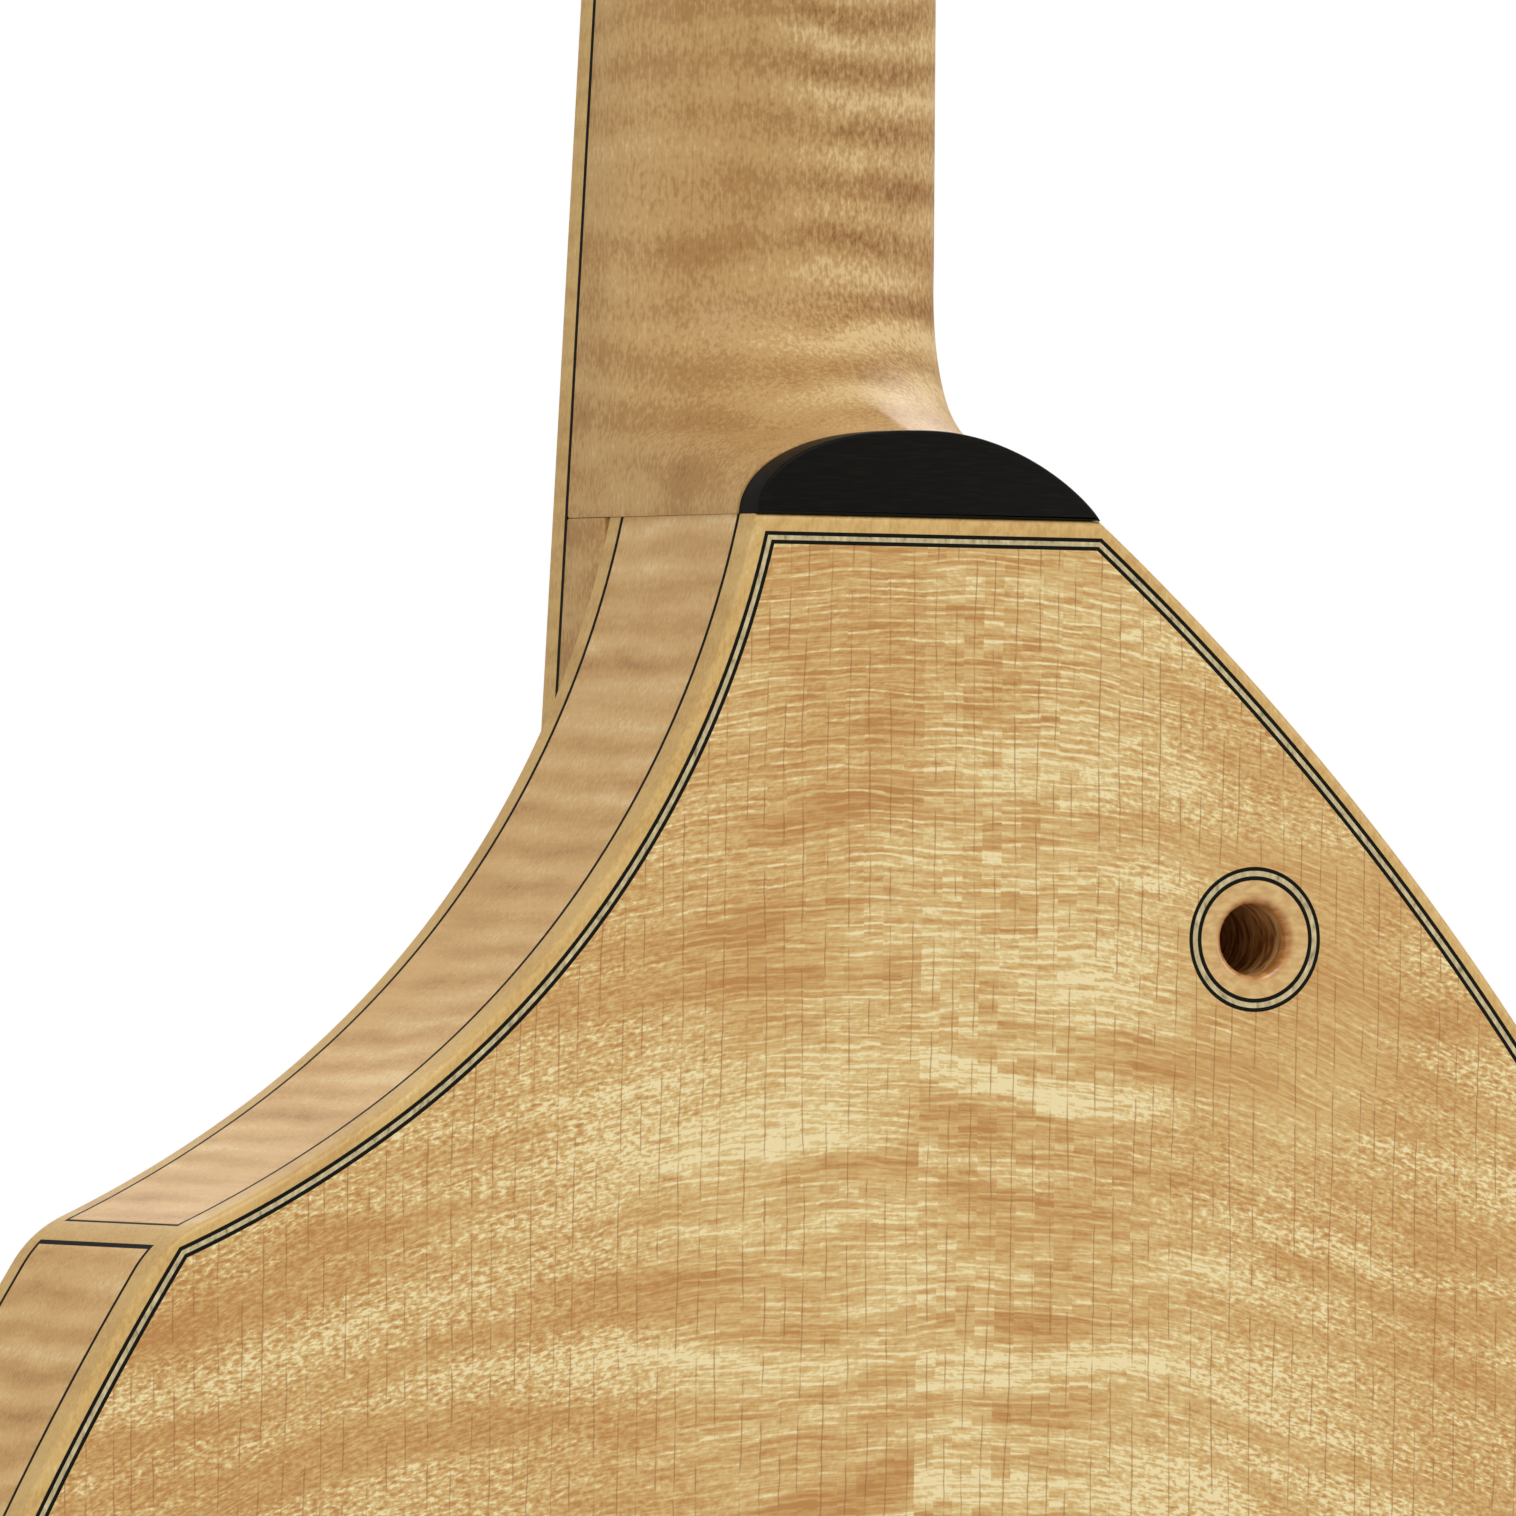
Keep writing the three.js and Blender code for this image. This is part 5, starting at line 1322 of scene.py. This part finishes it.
# ------------------------------------------------------------------ stringing
def build_strings():
    """Each string from the tailpiece over the bridge and the nut to its peg, with a soft bend at both."""
    nut_top = neck_plane(BOARD_FRONT - NUT_PROUD, NUT_END)
    for i, (radius, nut_x, bridge_x, wound) in enumerate(STRINGS):
        clear = radius + STRING_LIFT
        along = peg_along(PEG_OF_STRING[i])
        tail = (bridge_x * TAIL_SPREAD, STRING_TAIL_Y, TAIL_TOP_Z + PIECE_GAP)
        top = (bridge_x, BRIDGE_TOP - clear, BRIDGE_Z)
        nut = (nut_x, nut_top - clear, NUT_END + 0.2)
        end = (nut_x * PEG_SPREAD, *pegbox_yz(along, PEG_UP + PEG_RADIUS + clear - 0.25))
        bends = []
        for before, at, after in ((tail, top, nut), (top, nut, end)):
            before, at, after = (np.array(p) for p in (before, at, after))
            into, out = unit(at - before), unit(after - at)
            bends += [at - into * 1.2, at - into * 0.4, at + out * 0.4, at + out * 1.2]
        tube(f"string_{i + 1}_strand", [tail, *bends, end], radius, WOUND if wound else NYLON, sides=12,
             slot="wound_string" if wound else "nylon", replaces=[f"string_{i + 1}"])


def mirrored(points):
    return [(-x, y) for x, y in points]


def bridge_outline():
    """The bridge's outline in X and Y, and the height of its inner feet's edge."""
    seat = [board_front(x, BRIDGE_Z + d) for x in (25.0, 44.0) for d in (-BRIDGE_HALF, BRIDGE_HALF)]
    inner, outer = min(seat[:2]) - 0.05, min(seat[2:]) - 0.05
    leg = [(44, outer - 5), (41, -74.5), (37.5, -79.5), (35.6, -86), (34.6, BRIDGE_TOP + 3)]
    side = curve_through(leg, 6)
    half = [(25, inner), (44, outer), *side, (34.3, BRIDGE_TOP + 0.6), (33.7, BRIDGE_TOP)]
    arcade = curve_through([(21, -74), (17, -77.6), (9, -80.2), (0, -81)], 6)
    return np.array([*half, *mirrored(half[::-1]), *mirrored(arcade[:-1]), *arcade[::-1]]), inner


def build_bridge():
    """An arcade on two feet that gets thinner upwards, with a notched bone saddle."""
    points, foot_y = bridge_outline()
    places = [(radius, bridge_x) for radius, _, bridge_x, _ in STRINGS]

    def half_thickness(y):
        return BRIDGE_HALF * (1 + (BRIDGE_TOP_SHARE - 1) * ramp(y, foot_y, BRIDGE_TOP))

    soft, vertices, n = 0.45, [], len(points)
    upper = [(soft, 1.0, 0.0), (0.13, 1.0, -0.13), (0.0, 1.0, -soft)]
    levels = upper + [(inset, -side, -down) for inset, side, down in upper[::-1]]
    for inset, side, down in levels:
        ring = offset(points, -inset) if inset else points
        heights = [BRIDGE_Z + side * half_thickness(y) + down for y in points[:, 1]]
        vertices += [(p[0], p[1], z) for p, z in zip(ring, heights)]
    faces = loft_faces(len(levels), n)
    for k in (0, len(levels) - 1):
        faces += fill(vertices, [range(k * n, k * n + n)], axes=(0, 1))
    make_object("bridge_arcade", place(vertices), faces, EBONY_ACROSS, slot="ebony", replaces=["bridge"])
    end = SADDLE_END

    def section(x, rise):
        soft_end = 0.35 * smoothstep(abs(x), end - BAR_END_SOFT, end)
        top = BRIDGE_TOP - STRING_LIFT - 0.45 * rise + soft_end
        box = rounded_box(BRIDGE_Z - 1.1, BRIDGE_Z + 1.1, top, BRIDGE_TOP + 0.3, [0.02, 0.02, 0.28, 0.28])
        return np.column_stack([box[:, 1], box[:, 0]])

    notched_bar("bridge_saddle", end, places, section, BONE, slot="bone")


TAILPIECE_Y, TAILPIECE_FALL, TAILPIECE_THICKNESS = -83.0, 15.0, 5.0
# Its half width at shares of its length
TAILPIECE = [(0.0, 29.0), (0.03, 30.0), (0.25, 29.0), (0.6, 20.0), (0.85, 14.6), (0.97, 13.2), (1.0, 12.4)]


def build_tailpiece():
    rings = []
    for share, wide in curve_through(TAILPIECE, 8):
        y, z = TAILPIECE_Y + TAILPIECE_FALL * share, TAIL_TOP_Z + (TAIL_END_Z - TAIL_TOP_Z) * share
        pinch = 0.8 if share in (0.0, 1.0) else 0.0
        box = rounded_box(-wide, wide, y + pinch, y + TAILPIECE_THICKNESS - pinch, [0.8, 0.8, 1.6, 1.6])
        rings.append(np.insert(box, 2, z, axis=1))
    loft("tailpiece_plate", rings, EBONY_ALONG, slot="ebony", replaces=["tailpiece"])


def build_tail():
    """The gut's loop from the tailpiece over the edge and round the end pin, and the pin."""
    edge_z = BOUT_Z - BOUT_RADIUS - 1.5

    def leg(side):
        return [(side * 8, -65, TAIL_END_Z - 0.9), (side * 7.4, FRONT_Y - 2.8, edge_z + 4),
                (side * 7.2, FRONT_Y - 0.6, edge_z), (side * 6.6, -31, edge_z)]

    angles = [math.radians(a) for a in (30, 65, 90, 115, 150)]
    around = [(5.9 * math.cos(a), PIN_Y + 5.9 * math.sin(a), edge_z) for a in angles]
    path = curve_through([*leg(1), *around, *leg(-1)[::-1]], 8)
    tube("tail_gut_loop", path, 1.15, GUT, slot="gut", replaces=["tail_gut"])
    base = BOUT_Z - BOUT_RADIUS - 0.05
    stem = [(0, 0), (4.3, 0), (4.3, 3.2), (4.9, 3.9), (7.6, 4.7)]
    head = curve_through([(8.2, 5.4), (8.8, 8.2), (8.0, 11.2), (5.6, 13.4), (5.0, 14.0)], 6)
    dimple = [(2.4, 14.0), (2.4, 13.7), (0, 13.7)]
    profile = [(radius, base - down) for radius, down in (*stem, *head, *dimple)]
    turned("end_pin", profile, (0.0, PIN_Y), EBONY_ACROSS, axis="z", slot="ebony", replaces=["end_button"])


INSIDE = ("neck_block", "tail_block", "cutaway_block", "back_lining", "front_lining", "back_brace",
          "soundboard_brace_upper", "soundboard_brace_lower")


def finish_inside():
    """The pieces inside the body keep their CAD shape and take the inner wood."""
    for name in INSIDE:
        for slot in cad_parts[name].material_slots:
            slot.material = INNER


build_back()
build_ribs()
build_socket()
build_edges("front", FRONT_Y, RIB_LEVELS[-1], FRONT_Y + BOARD_THICKNESS)
build_soundboard()
build_rosettes()
build_neck()
build_heel_cap()
build_fingerboard()
build_nut()
build_pegbox()
for number in range(PEGS):
    build_peg(number)
    build_winding(number)
build_strings()
build_bridge()
build_tailpiece()
build_tail()
finish_inside()


# ------------------------------------------------------------------ stage, light and camera
WORLD_STRENGTH = 0.38
# The floor's radius and its gap under the instrument, in metres, and where it fades out, in millimetres
FLOOR_RADIUS, FLOOR_GAP, FLOOR_FADE = 4.0, 0.002, (500.0, 2200.0)


def area_light(name, where, size, power):
    """A soft light aimed at the instrument's middle, left out of the camera's own view."""
    data = bpy.data.lights.new(name, "AREA")
    data.shape = "RECTANGLE"
    data.size, data.size_y = size
    data.energy = power
    lamp = add_object(name, data)
    lamp.location = where
    lamp.rotation_mode = "QUATERNION"
    middle = (CAD_BOX[0] + CAD_BOX[1]) / 2
    lamp.rotation_quaternion = (middle - Vector(where)).to_track_quat("-Z", "Y")
    lamp.visible_camera = False


def build_world():
    """White to the camera, and a softer even light on the instrument."""
    world = bpy.data.worlds.new("studio")
    bpy.context.scene.world = world
    world.use_nodes = True
    tree = world.node_tree
    light = tree.nodes["Background"]
    light.inputs["Color"].default_value = (1, 1, 1, 1)
    light.inputs["Strength"].default_value = WORLD_STRENGTH
    backdrop = tree.nodes.new("ShaderNodeBackground")
    backdrop.inputs["Color"].default_value = (1, 1, 1, 1)
    path = tree.nodes.new("ShaderNodeLightPath")
    choose = tree.nodes.new("ShaderNodeMixShader")
    tree.links.new(path.outputs["Is Camera Ray"], choose.inputs[0])
    tree.links.new(light.outputs[0], choose.inputs[1])
    tree.links.new(backdrop.outputs[0], choose.inputs[2])
    tree.links.new(choose.outputs[0], tree.nodes["World Output"].inputs[0])
    bpy.context.scene.view_settings.view_transform = "Standard"


def build_floor():
    """A plain pale floor just under the end pin, which fades into the white backdrop for the camera."""
    rim = [(x, y, CAD_BOX[0].z - FLOOR_GAP) for x, y in circle((0.0, 0.0), FLOOR_RADIUS)]
    mesh = bpy.data.meshes.new("floor")
    mesh.from_pydata(rim, [], [tuple(range(len(rim)))])
    floor = add_object("floor", mesh)
    g = Graph("pale_floor", roughness=0.7, specular=0.2)
    tone = g.noise(g.mul(g.x, 0.004), g.mul(g.y, 0.004), 0.0, detail=2.0)
    reach = g.math("SQRT", g.add(g.mul(g.x, g.x), g.mul(g.y, g.y)))
    path = g.tree.nodes.new("ShaderNodeLightPath")
    fade = g.mul(g.step(reach, *FLOOR_FADE), path.outputs["Is Camera Ray"])
    g.put(g.shader.inputs["Emission Color"], (1, 1, 1, 1))
    g.put(g.shader.inputs["Emission Strength"], fade)
    pale = g.mix(tone, rgb(226, 226, 224), rgb(218, 218, 216))
    mesh.materials.append(g.finish(g.mix(fade, pale, rgb(0, 0, 0))))


# The camera looks at a target in the maker's frame from its distance, all in millimetres; angles in radians
CAMERA_LENS, CAMERA_DISTANCE = 522.4, 3387.81
CAMERA_TARGET = np.array([28.271, 0.0, -37.662])
CAMERA_YAW, CAMERA_PITCH, CAMERA_ROLL = 0.4296, -0.0077, 0.0145


def build_camera():
    yaw, pitch, roll = CAMERA_YAW, CAMERA_PITCH, CAMERA_ROLL
    back = np.array([math.sin(yaw) * math.cos(pitch), math.cos(yaw) * math.cos(pitch), math.sin(pitch)])
    right = unit(np.cross(-back, [0, 0, 1]))
    up = np.cross(right, -back)
    x_axis = right * math.cos(roll) + up * math.sin(roll)
    y_axis = -right * math.sin(roll) + up * math.cos(roll)
    data = bpy.data.cameras.new("camera")
    data.sensor_width = 36.0
    data.lens = CAMERA_LENS
    data.clip_start, data.clip_end = 0.1, 100
    camera = add_object("camera", data)
    turn = Matrix(np.column_stack([x_axis, y_axis, back]).tolist()).to_4x4()
    camera.matrix_world = Matrix.Translation(place(CAMERA_TARGET + back * CAMERA_DISTANCE)[0]) @ turn
    bpy.context.scene.camera = camera


area_light("overhead_back", (0.1, 1.6, 2.2), (1.6, 1.6), 46.5)
area_light("overhead_front", (-1.15, -2.1, 1.6), (1.8, 1.8), 44)
area_light("strip_treble", (2.6, 0.9, 0.5), (0.05, 1.6), 12)
area_light("side_bass", (-2.4, 1.5, 0.6), (0.8, 1.4), 20)
area_light("side_treble", (2.8, -0.4, -0.3), (1.0, 1.4), 9)
build_world()
build_floor()
build_camera()
